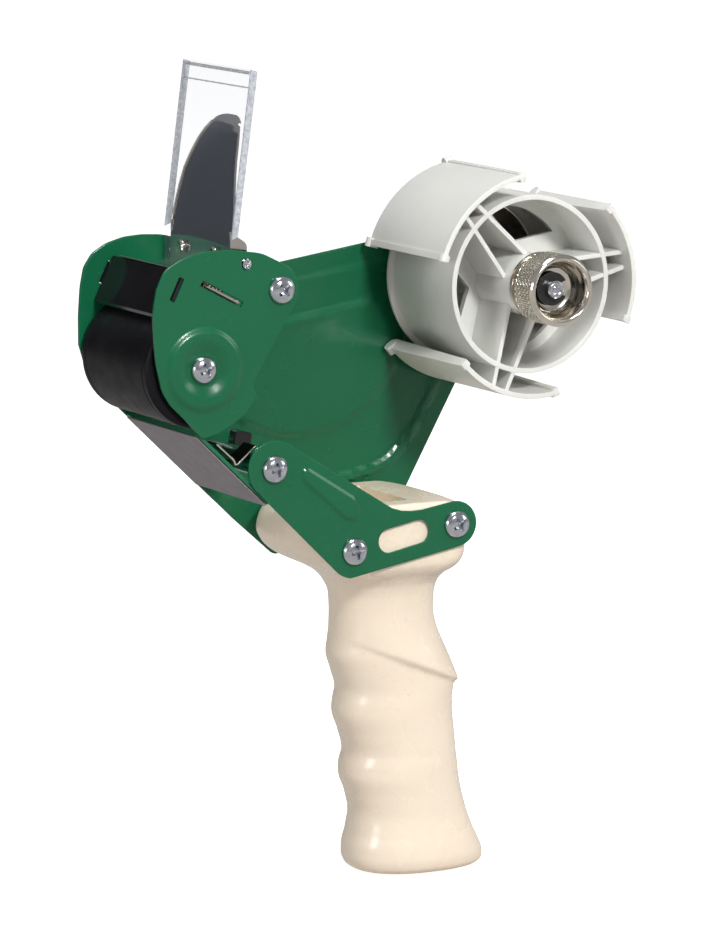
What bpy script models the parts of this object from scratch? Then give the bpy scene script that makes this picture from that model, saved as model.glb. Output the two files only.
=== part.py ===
"""Hand-held tape gun dispenser: green sheet frame, cream pistol grip, rubber roller, sprung shield, braked hub.

Origin at the centre of the grip's butt face. X towards the hub, Y away from the open side, Z up.
Lengths below are in millimetres and are scaled to metres as each mesh is made.
"""

import math

import bmesh
import bpy
from mathutils import Vector

for old in list(bpy.data.objects):
    bpy.data.objects.remove(old, do_unlink=True)

MM = 0.001
DATUM = 2.0  # heights below are drawn from this far under the butt face

# Driving sizes
SHEET = 1.2  # side plate thickness
INNER = 26.0  # inner face of each side plate, from the middle plane
OUTER = INNER + SHEET
GAP = 0.15  # running or assembly gap between neighbouring pieces
TAPE_HALF = 24.6  # half the roller width, for tape 48 to 50 mm wide

ROLLER = (-92.7, 180.8)  # roller axis, as (x, z)
ROLLER_R = 19.5
TIE = (-64.6, 205.3)
PIVOT = (-77.1, 214.3)  # shield rod
POST = (-67.2, 146.5)
GRIP_FRONT = (-37.8, 116.9)
GRIP_REAR = (0.6, 123.1)
HUB = (30.5, 201.3)

SCREW_HEAD_R = 4.6
SPACER_R = 4.0
ROD_R = 1.6

CORE_R = 38.0  # outside of the three petals, for a 76 mm tape core
DRUM_R = 30.0
DRUM_WALL = 1.8
HUB_FRONT, HUB_BACK = -24.0, 18.8
PETAL_FRONT, PETAL_BACK = -29.0, 22.3
STOP_RISE = 1.5  # how far the stops at the back of each petal stand above it
PETALS = ((10.0, 31.0), (131.0, 31.5), (-108.5, 29.5))  # middle and half arc of each, in degrees
RIB_AT_BOSS, RIB_AT_PETAL = 5.4, 2.5  # half the spacing of a pair of ribs, at its two ends
BOSS_R = 10.5
LIP_R, LIP_FRONT = 25.2, 16.2
WEB_FRONT, WEB_BACK = -4.6, -2.2  # hub web, half way down the drum
WINDOW_R, WINDOW_SIDE = 24.6, 11.2  # outer radius of a web window, and its distance from the middle line of each pair of ribs

KNOB_R = 12.0
KNOB_BACK, KNOB_FRONT = -31.5, -45.0

LEAN = math.radians(8.0)  # shield film, from upright

MATERIALS = {
    "green_paint": ((0.021, 0.162, 0.076), 0.0, 0.28),
    "cream_plastic": ((0.90, 0.76, 0.60), 0.0, 0.32),
    "black_rubber": ((0.012, 0.012, 0.016), 0.0, 0.55),
    "black_gloss": ((0.008, 0.008, 0.010), 0.0, 0.15),
    "grey_pad": ((0.17, 0.15, 0.165), 0.0, 0.6),
    "hub_plastic": ((0.66, 0.65, 0.60), 0.0, 0.4),
    "nickel": ((0.72, 0.68, 0.62), 1.0, 0.18),
    "zinc": ((0.62, 0.64, 0.66), 1.0, 0.28),
    "steel": ((0.55, 0.55, 0.56), 1.0, 0.2),
    "fibre": ((0.25, 0.14, 0.07), 0.0, 0.8),
    "clear_film": ((0.80, 0.86, 0.92), 0.0, 0.1),
}


def material_for(name, look):
    """Each object has its own Principled material, built from a named look."""
    color, metallic, roughness = MATERIALS[look]
    made = bpy.data.materials.new(name)
    made.use_nodes = True
    shader = made.node_tree.nodes["Principled BSDF"]
    shader.inputs["Base Color"].default_value = (*color, 1.0)
    shader.inputs["Metallic"].default_value = metallic
    shader.inputs["Roughness"].default_value = roughness
    if look == "clear_film":
        shader.inputs["Alpha"].default_value = 0.35
    return made


def mesh_object(name, points, faces, look=None):
    """A mesh object from points in mm; look None makes a hidden cutter or helper."""
    mesh = bpy.data.meshes.new(name)
    mesh.from_pydata([Vector((x, y, z - DATUM)) * MM for x, y, z in points], [], faces)
    work = bmesh.new()
    work.from_mesh(mesh)
    bmesh.ops.recalc_face_normals(work, faces=work.faces)
    work.to_mesh(mesh)
    work.free()
    obj = bpy.data.objects.new(name, mesh)
    bpy.context.scene.collection.objects.link(obj)
    if look:
        mesh.materials.append(material_for(name, look))
    else:
        obj.hide_render = True
        obj.display_type = "WIRE"
    return obj


def combine(target, others, operation):
    for other in others:
        step = target.modifiers.new(operation.lower(), "BOOLEAN")
        step.operation = operation
        step.solver = "EXACT"
        step.object = other
        other.hide_render = True
        other.display_type = "WIRE"
    return target


def cut(target, *cutters):
    return combine(target, cutters, "DIFFERENCE")


def fuse(target, *additions):
    return combine(target, additions, "UNION")


def prism(name, outline, y0, y1, look=None):
    """A closed (x, z) outline drawn out along Y."""
    count = len(outline)
    points = [(x, y, z) for y in (y0, y1) for x, z in outline]
    faces = [list(range(count))[::-1], list(range(count, 2 * count))]
    faces += [[i, (i + 1) % count, count + (i + 1) % count, count + i] for i in range(count)]
    return mesh_object(name, points, faces, look)


def box(name, low, high, look=None):
    outline = [(low[0], low[2]), (high[0], low[2]), (high[0], high[2]), (low[0], high[2])]
    return prism(name, outline, low[1], high[1], look)


def lathe(name, profile, centre, look=None, segments=32, closed=False):
    """(radius, y) profile turned round the Y axis through centre. closed joins its last point to its first."""
    points, rings = [], []
    for radius, y in profile:
        if radius == 0:
            rings.append([len(points)] * segments)
            points.append((centre[0], y, centre[1]))
            continue
        rings.append(list(range(len(points), len(points) + segments)))
        for k in range(segments):
            turn = 2 * math.pi * k / segments
            points.append((centre[0] + radius * math.cos(turn), y, centre[1] + radius * math.sin(turn)))
    faces = []
    pairs = list(zip(rings, rings[1:]))
    if closed:
        pairs.append((rings[-1], rings[0]))
    for a, b in pairs:
        for k in range(segments):
            j = (k + 1) % segments
            face = []
            for corner in (a[k], a[j], b[j], b[k]):
                if corner not in face:
                    face.append(corner)
            if len(face) > 2:
                faces.append(face)
    return mesh_object(name, points, faces, look)


def rod(name, centre, radius, y0, y1, look=None, segments=24):
    return lathe(name, [(0, y0), (radius, y0), (radius, y1), (0, y1)], centre, look, segments)


def tube(name, path, radius, look, sides=8):
    """A round wire along a path of 3-D points, with closed ends."""
    path = [Vector(p) for p in path]
    points, faces = [], []
    side = None
    for i, here in enumerate(path):
        ahead = path[min(i + 1, len(path) - 1)] - path[max(i - 1, 0)]
        ahead.normalize()
        if side is None:
            side = ahead.orthogonal()
        side = (side - ahead * side.dot(ahead)).normalized()
        up = ahead.cross(side)
        for k in range(sides):
            turn = 2 * math.pi * k / sides
            points.append(tuple(here + (side * math.cos(turn) + up * math.sin(turn)) * radius))
    for i in range(len(path) - 1):
        for k in range(sides):
            j = (k + 1) % sides
            faces.append([i * sides + k, i * sides + j, (i + 1) * sides + j, (i + 1) * sides + k])
    faces.append(list(range(sides))[::-1])
    faces.append([(len(path) - 1) * sides + k for k in range(sides)])
    return mesh_object(name, points, faces, look)


def strip_outline(line, thickness):
    """The closed outline of a sheet of this thickness that follows a line of (x, z) points on its right side."""
    offset = []
    for i, here in enumerate(line):
        a = Vector(line[max(i - 1, 0)])
        b = Vector(line[min(i + 1, len(line) - 1)])
        before = (Vector(here) - a).normalized() if i else (b - Vector(here)).normalized()
        after = (b - Vector(here)).normalized() if i < len(line) - 1 else before
        normal = Vector((before.y + after.y, -before.x - after.x)).normalized()
        spread = max(0.4, normal.dot(Vector((before.y, -before.x))))
        offset.append(tuple(Vector(here) + normal * (thickness / spread)))
    return [tuple(p) for p in line] + offset[::-1]


def sheet(name, line, thickness, y0, y1, look=None):
    return prism(name, strip_outline(line, thickness), y0, y1, look)


def rounded(corners, steps=4):
    """An outline from (x, z, radius) corners, each turned with an arc."""
    outline = []
    count = len(corners)
    for i, (x, z, radius) in enumerate(corners):
        here = Vector((x, z))
        if radius <= 0:
            outline.append((x, z))
            continue
        back = (Vector(corners[i - 1][:2]) - here).normalized()
        ahead = (Vector(corners[(i + 1) % count][:2]) - here).normalized()
        half = back.angle(ahead) / 2
        reach = radius / math.tan(half)
        centre = here + (back + ahead).normalized() * (radius / math.sin(half))
        first = here + back * reach - centre
        last = here + ahead * reach - centre
        start = math.atan2(first.y, first.x)
        sweep = math.atan2(first.x * last.y - first.y * last.x, first.dot(last))
        for k in range(steps + 1):
            turn = start + sweep * k / steps
            outline.append((centre.x + radius * math.cos(turn), centre.y + radius * math.sin(turn)))
    return outline


def arc(centre, radius, first, last, steps=9):
    """Points round an arc, from one angle in degrees to another."""
    turns = [math.radians(first + (last - first) * k / steps) for k in range(steps + 1)]
    return [(centre[0] + radius * math.cos(t), centre[1] + radius * math.sin(t)) for t in turns]


def along(start, end, distance, side=0.0):
    """The (x, z) point this far from start towards end, and this far to the left of that line."""
    way = (Vector(end) - Vector(start)).normalized()
    found = Vector(start) + way * distance + Vector((-way.y, way.x)) * side
    return (found.x, found.y)


def slot_outline(start, end, half, margin=0.0):
    """A slot with square ends round a line, margin longer and wider all round."""
    length = (Vector(end) - Vector(start)).length
    low, high = -margin, length + margin
    wide = half + margin
    return [along(start, end, low, -wide), along(start, end, high, -wide),
            along(start, end, high, wide), along(start, end, low, wide)]


# ---------------------------------------------------------------- side plates
NOSE = [(-112.3, 184.0, 0), (-112.3, 193.5, 0), (-111.6, 203.1, 0), (-110.3, 209.6, 0), (-107.3, 214.0, 0),
        (-102.1, 217.1, 0), (-95.7, 218.9, 0), (-89.0, 219.4, 0), (-81.5, 219.0, 0)]
WEB_TOP = (-99.0, 163.0)  # start of the bend line between the main plate and its web
WEB_END = (-42.9, 109.1)

MAIN_OUTLINE = rounded(NOSE + [
    (-70.0, 216.0, 20), (-52.0, 205.2, 16), (-2.9, 212.5, 0), (47.0, 219.9, 13), (47.5, 194.3, 8),
    (29.4, 162.0, 0), (8.6, 124.8, 4), (4.6, 115.6, 5), (-17.1, 112.1, 0), (-40.6, 108.0, 3.5),
    (*along(WEB_TOP, WEB_END, 60.0), 0), (*WEB_TOP, 0), (-104.4, 168.4, 4), (-109.8, 175.8, 4)])

COVER_OUTLINE = rounded([
    (-83.5, 219.4, 0), (-92.7, 219.2, 0), (-100.7, 217.2, 0), (-106.6, 213.9, 0), (-109.6, 207.6, 0),
    (-111.0, 199.6, 0), (-110.0, 184.1, 0), (-107.8, 174.6, 0), (-104.8, 169.9, 0), (-99.9, 165.2, 0),
    (-93.2, 158.2, 2.2), (-86.7, 160.0, 8), (-78.6, 164.6, 6), (-73.4, 171.0, 2.0), (-74.9, 175.0, 1.2),
    (-73.3, 178.2, 0), (-57.2, 204.6, 6.5), (-60.6, 212.2, 8), (-71.5, 217.6, 14)])

BRACKET_OUTLINE = (arc(GRIP_FRONT, 9.0, 225, 263) + arc(GRIP_REAR, 7.7, -80, 98)
                   + [(-15.9, 129.5), (-19.8, 129.1), (-23.6, 130.3)] + arc(POST, 9.5, 58, 225))


def plate_holes(name, spots, radius, y0, y1):
    return [rod(f"{name}_{i}", spot, radius, y0 - 1, y1 + 1, segments=20) for i, spot in enumerate(spots)]


SLOT_FRONT = ((-100.6, 210.9), (-104.0, 204.0))  # holds the cross plate's tab
SLOT_BLADE = ((-93.3, 208.9), (-79.0, 201.3))  # holds the blade holder's tab

main_frame = prism("main_frame", MAIN_OUTLINE, INNER, OUTER, "green_paint")
web_line = [along(WEB_TOP, WEB_END, 5.0, 0.1), along(WEB_TOP, WEB_END, 41.0, 0.1)]
web = prism("main_web_form", strip_outline(web_line, -SHEET), -INNER, INNER + 0.6)
main_rib = sheet("main_rib_form", [(21.4, 160.0), (17.6, 152.6), (9.8, 142.0), (4.0, 136.8), (-2.0, 134.2), (-16.0, 131.0)],
                 2.6, INNER - 0.7, INNER + 0.5)
fuse(main_frame, web, main_rib)
cut(main_frame,
    *plate_holes("main_hole", (ROLLER, TIE, POST, GRIP_FRONT, GRIP_REAR), 3.2, INNER - 2, OUTER),
    rod("main_hub_hole", HUB, 5.1, INNER - 2, OUTER + 2),
    rod("main_rod_hole", PIVOT, ROD_R + 0.25, INNER - 2, OUTER + 2, segments=16),
    prism("main_slot_front", slot_outline(*SLOT_FRONT, 0.75, 0.15), INNER - 1, OUTER + 1),
    prism("main_slot_blade", slot_outline(*SLOT_BLADE, 0.85, 0.15), INNER - 1, OUTER + 1))

side_cover = prism("side_cover", COVER_OUTLINE, -OUTER, -INNER, "green_paint")
cut(side_cover,
    rod("cover_emboss_hole", ROLLER, 15.4, -OUTER - 1, -INNER + 1, segments=36),
    rod("cover_tie_hole", TIE, 2.75, -OUTER - 1, -INNER + 1, segments=20),
    rod("cover_rod_hole", PIVOT, ROD_R + 0.25, -OUTER - 1, -INNER + 1, segments=16),
    prism("cover_slot_front", slot_outline(*SLOT_FRONT, 0.75, 0.15), -OUTER - 1, -INNER + 1),
    prism("cover_slot_blade", slot_outline(*SLOT_BLADE, 0.85, 0.15), -OUTER - 1, -INNER + 1))
fuse(side_cover, lathe("cover_emboss_form", [
    (15.9, -27.1), (14.8, -27.2), (12.8, -28.3), (10.6, -28.3), (7.4, -26.9), (2.75, -26.8), (2.75, -25.6),
    (8.2, -25.7), (10.8, -27.05), (12.4, -27.05), (14.4, -26.0), (15.9, -26.1)], ROLLER, segments=36, closed=True))

handle_bracket = prism("handle_bracket", BRACKET_OUTLINE, -OUTER, -INNER, "green_paint")
fuse(handle_bracket, prism("bracket_pad_form", rounded([
    (-57.5, 147.6, 1.6), (-37.2, 134.6, 3.5), (-35.0, 126.4, 2.5), (-41.2, 128.0, 3), (-57.0, 141.8, 2.5)], 3),
    -OUTER - 0.6, -OUTER + 0.5))
SLOT_ENDS = ((-24.6, 119.4), (-13.6, 121.6))
SLOT_TILT = math.degrees(math.atan2(SLOT_ENDS[1][1] - SLOT_ENDS[0][1], SLOT_ENDS[1][0] - SLOT_ENDS[0][0]))
slot_round = arc(SLOT_ENDS[1], 4.0, SLOT_TILT - 90, SLOT_TILT + 90) + arc(SLOT_ENDS[0], 4.0, SLOT_TILT + 90, SLOT_TILT + 270)
cut(handle_bracket,
    *plate_holes("bracket_hole", (POST, GRIP_FRONT, GRIP_REAR), 2.75, -OUTER, -INNER),
    prism("bracket_slot", slot_round, -OUTER - 2, -INNER + 2))

pad_line = [along(WEB_TOP, WEB_END, 5.6, -0.15), along(WEB_TOP, WEB_END, 40.8, -0.15)]
guard_pad = prism("guard_pad", strip_outline(pad_line, 0.4), -25.8, 25.4, "grey_pad")

# ---------------------------------------------------------------- spacers and screws
SPACERS = {
    "roller_axle": (ROLLER, SPACER_R, -25.6 + GAP),
    "tie_bar": (TIE, SPACER_R, -INNER + GAP),
    "bracket_post": (POST, SPACER_R, -INNER + GAP),
    "grip_sleeve_front": (GRIP_FRONT, 3.4, -INNER + GAP),
    "grip_sleeve_rear": (GRIP_REAR, 3.4, -INNER + GAP),
}
for name, (centre, radius, near) in SPACERS.items():
    neck, head = 2.95, 4.6  # the far end passes through the main plate and is staked over
    lathe(name, [(2.5, near), (radius, near), (radius, INNER - GAP), (neck, INNER - GAP), (neck, OUTER + GAP),
                 (head, OUTER + GAP), (head, OUTER + 0.8), (head - 1.2, OUTER + 1.5), (0, OUTER + 1.5),
                 (0, near + 14), (2.5, near + 13)], centre, "zinc", 24, True)

SCREWS = {
    "screw_roller": (ROLLER, -26.8),
    "screw_tie": (TIE, -OUTER),
    "screw_post": (POST, -OUTER),
    "screw_grip_front": (GRIP_FRONT, -OUTER),
    "screw_grip_rear": (GRIP_REAR, -OUTER),
}
for name, (centre, seat) in SCREWS.items():
    under = seat - GAP
    screw = lathe(name, [(0, under - 2.5), (1.9, under - 2.45), (3.3, under - 2.0), (4.2, under - 1.2),
                         (SCREW_HEAD_R, under - 0.5), (SCREW_HEAD_R, under), (2.25, under),
                         (2.25, under + 11.0), (1.6, under + 12.0), (0, under + 12.0)], centre, "zinc", 20)
    for turn in (0, 1):
        wide, tall = ((2.3, 0.5), (0.5, 2.3))[turn]
        cut(screw, box(f"{name}_cross_{turn}", (centre[0] - wide, under - 4, centre[1] - tall),
                       (centre[0] + wide, under - 1.1, centre[1] + tall)))

# ---------------------------------------------------------------- cream grip
# (z, front, front centre, back centre, back, half width, squareness of the ends)
GRIP = [
    (2.0, -19.8, -1.6, -1.6, 18.4, 13.2, 2.3),
    (2.7, -22.8, -1.6, -1.6, 21.4, 16.0, 2.3),
    (4.5, -25.0, -1.7, -1.7, 23.2, 17.9, 2.3),
    (7.5, -26.0, -1.9, -1.9, 22.9, 18.5, 2.3),
    (11.0, -25.9, -2.3, -2.3, 21.4, 18.3, 2.3),
    (16.0, -24.6, -3.0, -3.0, 19.0, 17.6, 2.3),
    (22.5, -23.8, -3.8, -3.8, 16.8, 17.0, 2.2),
    (29.0, -25.2, -5.0, -5.0, 15.0, 17.0, 2.2),
    (36.0, -27.5, -6.8, -6.8, 13.8, 17.2, 2.2),
    (39.0, -27.3, -6.8, -6.8, 13.5, 17.2, 2.2),
    (43.5, -26.0, -6.7, -6.7, 12.9, 17.0, 2.2),
    (50.0, -27.6, -7.8, -7.8, 12.3, 17.0, 2.2),
    (57.5, -30.0, -9.2, -9.2, 11.6, 17.2, 2.2),
    (60.5, -29.7, -9.1, -9.1, 11.6, 17.2, 2.2),
    (65.0, -28.8, -8.6, -8.6, 12.2, 17.0, 2.2),
    (71.0, -30.4, -10.0, -10.0, 10.6, 17.0, 2.2),
    (77.5, -32.2, -12.0, -12.0, 8.6, 16.8, 2.2),
    (81.0, -31.7, -12.3, -12.3, 7.2, 16.6, 2.2),
    (86.5, -30.9, -12.9, -12.9, 5.1, 16.5, 2.2),
    (92.0, -30.7, -13.3, -13.3, 4.0, 16.7, 2.2),
    (97.5, -30.9, -13.4, -13.4, 4.1, 17.4, 2.2),
    (101.5, -32.6, -14.0, -13.6, 5.0, 18.6, 2.2),
    (105.0, -35.2, -17.0, -11.0, 7.0, 21.0, 2.3),
    (107.5, -39.0, -24.0, -6.0, 9.2, 23.8, 2.4),
    (110.0, -44.5, -31.0, -3.0, 10.4, 25.4, 2.4),
    (112.5, -49.5, -34.5, -1.0, 11.2, 25.7, 2.3),
    (116.0, -53.6, -36.5, 0.0, 11.6, 25.7, 2.2),
    (120.0, -55.6, -37.0, 0.5, 11.4, 25.7, 2.2),
    (124.5, -54.0, -36.5, 1.0, 10.6, 25.7, 2.3),
    (128.0, -50.6, -35.0, 0.6, 8.6, 25.6, 2.4),
    (130.0, -47.2, -33.5, -1.0, 4.4, 25.0, 2.5),
    (130.8, -44.5, -33.0, -4.0, 1.4, 23.6, 2.5),
]
GRIP_SIDES = 44


def grip_ring(z, front, front_centre, back_centre, back, half, power):
    ring = []
    for k in range(GRIP_SIDES):
        turn = 2 * math.pi * (k + 0.5) / GRIP_SIDES
        c, s = math.cos(turn), math.sin(turn)
        reach, centre = (back - back_centre, back_centre) if c > 0 else (front_centre - front, front_centre)
        x = centre + reach * math.copysign(abs(c) ** (2 / power), c)
        y = half * math.copysign(abs(s) ** (2 / power), s)
        # the palm rest swells above a diagonal ridge and steps in just below it
        above = z - (71.0 - 0.42 * x)
        lift = 0.9 * math.exp(-((above / (9.0 if above > 0 else 2.5)) ** 2)) * max(0.0, c + 0.3) ** 0.7
        ring.append((x + lift, y, z))
    return ring


grip_points = [p for section in GRIP for p in grip_ring(*section)]
grip_faces = [list(range(GRIP_SIDES))[::-1], list(range(len(grip_points) - GRIP_SIDES, len(grip_points)))]
for level in range(len(GRIP) - 1):
    for k in range(GRIP_SIDES):
        a, b = level * GRIP_SIDES + k, level * GRIP_SIDES + (k + 1) % GRIP_SIDES
        grip_faces.append([a, b, b + GRIP_SIDES, a + GRIP_SIDES])
handle = mesh_object("handle", grip_points, grip_faces, "cream_plastic")
cut(handle,
    rod("handle_bore_front", GRIP_FRONT, 3.7, -30, 30, segments=20),
    rod("handle_bore_rear", GRIP_REAR, 3.7, -30, 30, segments=20),
    prism("handle_pocket", rounded([(-31.0, 124.0, 0), (-12.5, 124.0, 0), (-11.5, 140.0, 0), (-32.0, 140.0, 0)]),
          -17.0, 17.0))

# ---------------------------------------------------------------- roller
lathe("roller_sleeve", [(15.5, -TAPE_HALF), (ROLLER_R - 0.7, -TAPE_HALF), (ROLLER_R, -TAPE_HALF + 0.7),
                        (ROLLER_R, TAPE_HALF - 0.7), (ROLLER_R - 0.7, TAPE_HALF), (15.5, TAPE_HALF)],
      ROLLER, "black_rubber", 40, True)
lathe("roller_core", [(4.15, -25.1), (7.0, -25.1), (7.0, -3.0), (13.0, -3.0), (13.0, -24.0), (15.3, -24.0),
                      (15.3, 24.0), (13.0, 24.0), (13.0, 3.0), (7.0, 3.0), (7.0, 25.4), (4.15, 25.4)],
      ROLLER, "black_gloss", 32, True)

# ---------------------------------------------------------------- cross plate, blade and spring strip
CROSS_TOP, CROSS_LOW = (-100.0, 213.0), (-107.3, 198.2)
cross_plate = sheet("cross_plate", [along(CROSS_LOW, CROSS_TOP, 0.6, -3.0), CROSS_LOW, CROSS_TOP], 1.2,
                    -INNER + 0.3, INNER - 0.3, "black_gloss")
tab_middle = along(CROSS_LOW, CROSS_TOP, 8.2, -0.6)
for side, name in ((-1, "cross_tab_near"), (1, "cross_tab_far")):
    ends = [along(SLOT_FRONT[0], SLOT_FRONT[1], t) for t in (0.7, 7.0)]
    low, high = sorted((side * (INNER - 1.2), side * (OUTER + 0.25)))
    fuse(cross_plate, prism(name, slot_outline(*ends, 0.5), low, high))

holder_line = [along(*SLOT_BLADE, 1.4, -0.5), along(*SLOT_BLADE, 15.4, -0.5)]
blade_holder = prism("blade_holder", strip_outline(holder_line, -1.1), -INNER + 0.3, INNER - 0.3, "steel")
for side, name in ((-1, "holder_tab_near"), (1, "holder_tab_far")):
    low, high = sorted((side * (INNER - 1.2), side * (OUTER + 0.3)))
    ends = [along(*SLOT_BLADE, 4.2, 0.05), along(*SLOT_BLADE, 15.0, 0.05)]
    fuse(blade_holder, prism(name, slot_outline(*ends, 0.45), low, high))

TEETH, TOOTH = 19, 1.6
blade_low, blade_high = 0.75, 1.45
edge_points, edge_faces = [], []
way = Vector(SLOT_BLADE[1]) - Vector(SLOT_BLADE[0])
pitch = 50.0 / TEETH
for step in range(2 * TEETH + 1):
    y = -25.0 + step * pitch / 2
    tip = -5.2 - (TOOTH if step % 2 else 0)
    for distance, side in ((tip, blade_low), (tip, blade_high), (9.0, blade_high), (9.0, blade_low)):
        x, z = along(*SLOT_BLADE, distance, side)
        edge_points.append((x, y, z))
last = 8 * TEETH
edge_faces = [[0, 1, 2, 3], [last + 3, last + 2, last + 1, last]]
for step in range(2 * TEETH):
    for k in range(4):
        a, b = 4 * step + k, 4 * step + (k + 1) % 4
        edge_faces.append([a, b, b + 4, a + 4])
mesh_object("blade", edge_points, edge_faces, "steel")

spring_line = [(-87.6, 155.8), (-81.2, 149.9), (-80.9, 148.4), (-79.6, 148.6), (-73.0, 154.2)]
sheet("spring_strip", spring_line, -0.6, -25.4, -17.0, "nickel")
anchor = prism("spring_anchor", rounded([(-58.2, 145.6, 1), (-52.0, 144.6, 1), (-50.8, 151.0, 1), (-57.0, 152.2, 1)], 2),
               21.0, INNER - 0.2, "black_gloss")

# ---------------------------------------------------------------- hub
def polar(radius, degrees, y):
    turn = math.radians(degrees)
    return (HUB[0] + radius * math.cos(turn), y, HUB[1] + radius * math.sin(turn))


def arc_block(name, inner, outer, start, end, y0, y1, steps):
    """A block between two radii, swept round the hub axis from one angle to another."""
    points, faces = [], []
    for k in range(steps + 1):
        turn = start + (end - start) * k / steps
        points += [polar(inner, turn, y0), polar(outer, turn, y0), polar(outer, turn, y1), polar(inner, turn, y1)]
    for k in range(steps):
        for j in range(4):
            a, b = 4 * k + j, 4 * k + (j + 1) % 4
            faces.append([a, b, b + 4, a + 4])
    faces += [[3, 2, 1, 0], [4 * steps, 4 * steps + 1, 4 * steps + 2, 4 * steps + 3]]
    return mesh_object(name, points, faces)


# drum, back flange, middle web and boss are one turned shape
hub = lathe("hub", [
    (5.25, -15.0), (8.7, -15.0), (8.7, -28.2), (BOSS_R, -28.2), (BOSS_R, WEB_FRONT), (DRUM_R - DRUM_WALL, WEB_FRONT),
    (DRUM_R - DRUM_WALL, HUB_FRONT), (DRUM_R, HUB_FRONT), (DRUM_R, 17.3), (31.7, 17.3), (31.7, HUB_BACK),
    (LIP_R, HUB_BACK), (LIP_R, LIP_FRONT), (DRUM_R - DRUM_WALL, LIP_FRONT), (DRUM_R - DRUM_WALL, WEB_BACK), (BOSS_R, WEB_BACK), (BOSS_R, 22.0),
    (5.25, 22.0)], HUB, "hub_plastic", 48, True)
for index, (middle, half_arc) in enumerate(PETALS):
    turn = math.radians(middle)
    out = Vector((math.cos(turn), math.sin(turn)))
    across = Vector((-out.y, out.x))
    for side in (-1, 1):
        start = Vector(HUB) + out * 8.4 + across * side * RIB_AT_BOSS
        end = Vector(HUB) + out * 36.9 + across * side * RIB_AT_PETAL
        fuse(hub, prism(f"hub_rib_{index}_{side + 1}", slot_outline(tuple(start), tuple(end), 0.75),
                        HUB_FRONT + 0.25, 16.8))
    fuse(hub, arc_block(f"hub_petal_{index}", CORE_R - 1.8, CORE_R, middle - half_arc, middle + half_arc,
                        PETAL_FRONT, PETAL_BACK, 12))
    for side in (-1, 1):
        edge = middle + side * half_arc
        fuse(hub, arc_block(f"hub_bead_{index}_{side + 1}", CORE_R - 3.9, CORE_R - 0.4, edge - 1.6, edge + 1.6,
                            PETAL_FRONT - 0.3, PETAL_BACK + 0.3, 1),
             arc_block(f"hub_stop_{index}_{side + 1}", CORE_R - 3.6, CORE_R + STOP_RISE, edge - 2.5, edge + 2.5,
                       PETAL_BACK - 2.3, PETAL_BACK + 1.7, 1))

for index, (middle, _) in enumerate(PETALS):
    # each window lies between one pair of ribs and the next pair anticlockwise
    following = PETALS[(index + 1) % 3][0]
    gap = (following - middle) % 360
    swing = math.degrees(math.asin(WINDOW_SIDE / WINDOW_R))
    centre = middle + gap / 2
    corner = polar(WINDOW_SIDE / math.sin(math.radians(gap / 2)), centre, 0)
    outline = [(corner[0], corner[2])] + arc(HUB, WINDOW_R, middle + swing, middle + gap - swing, 8)
    cut(hub, prism(f"hub_window_{index}", outline, WEB_FRONT - 1, WEB_BACK + 1))

# ---------------------------------------------------------------- hub axle, brake and knob
lathe("hub_axle", [
    (0, -41.4), (2.6, -41.4), (3.0, -41.0), (3.0, -38.8), (2.4, -38.8), (2.4, -37.5), (3.0, -37.5), (3.0, -29.6),
    (5.0, -29.0), (5.0, 23.9), (13.0, 23.9), (13.0, INNER - GAP), (4.9, INNER - GAP), (4.9, 33.4), (4.4, 33.9),
    (0, 33.9)], HUB, "zinc", 32)
lathe("axle_nut", [(5.15, OUTER + GAP), (8.6, OUTER + GAP), (8.6, 32.0), (5.15, 32.0)], HUB, "zinc", 6, True)
cut(bpy.data.objects["axle_nut"], rod("axle_nut_bore", HUB, 5.1, 20, 40))
lathe("brake_washer", [(5.3, 22.2), (15.0, 22.2), (15.0, 23.7), (5.3, 23.7)], HUB, "fibre", 32, True)
lathe("brake_disc", [(10.9, 17.1), (24.9, 17.1), (24.9, 18.3), (10.9, 18.3)], HUB, "steel", 48, True)
lathe("friction_washer", [(5.3, -16.6), (8.4, -16.6), (8.4, -15.2), (5.3, -15.2)], HUB, "steel", 28, True)
lathe("pressure_washer", [(5.3, -31.2), (11.4, -31.2), (11.6, -31.0), (11.6, -29.9), (11.4, -29.7), (5.3, -29.7)],
      HUB, "nickel", 36, True)

SPRING_TURNS, SPRING_STEP = 5, 12
coil = []
for k in range(SPRING_TURNS * SPRING_STEP + 1):
    turn = 2 * math.pi * k / SPRING_STEP
    coil.append((HUB[0] + 7.0 * math.cos(turn), -28.9 + 11.5 * k / (SPRING_TURNS * SPRING_STEP),
                 HUB[1] + 7.0 * math.sin(turn)))
tube("tension_spring", coil, 0.55, "steel", 6)

RIDGES = 36
knob_profile = [(3.25, KNOB_BACK), (10.4, KNOB_BACK), (10.9, KNOB_BACK - 0.4), (10.9, KNOB_BACK - 1.6),
                (11.6, KNOB_BACK - 1.9), (12.0, KNOB_BACK - 2.4), (12.0, KNOB_FRONT + 1.2),
                (11.5, KNOB_FRONT + 0.3), (10.9, KNOB_FRONT), (10.0, KNOB_FRONT + 0.3), (9.2, KNOB_FRONT + 2.0),
                (8.2, -38.6), (7.4, -36.7), (3.25, -36.7)]
knob = lathe("tension_knob", knob_profile, HUB, "nickel", RIDGES, True)

clip_points, clip_faces = [], []
CLIP_STEPS = 20
for k in range(CLIP_STEPS + 1):
    turn = 35 + 290 * k / CLIP_STEPS
    clip_points += [polar(2.6, turn, -38.6), polar(5.6, turn, -38.6), polar(5.6, turn, -37.7), polar(2.6, turn, -37.7)]
for k in range(CLIP_STEPS):
    for j in range(4):
        a, b = 4 * k + j, 4 * k + (j + 1) % 4
        clip_faces.append([a, b, b + 4, a + 4])
clip_faces += [[3, 2, 1, 0], [4 * CLIP_STEPS + j for j in range(4)]]
mesh_object("retaining_clip", clip_points, clip_faces, "black_gloss")

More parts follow.
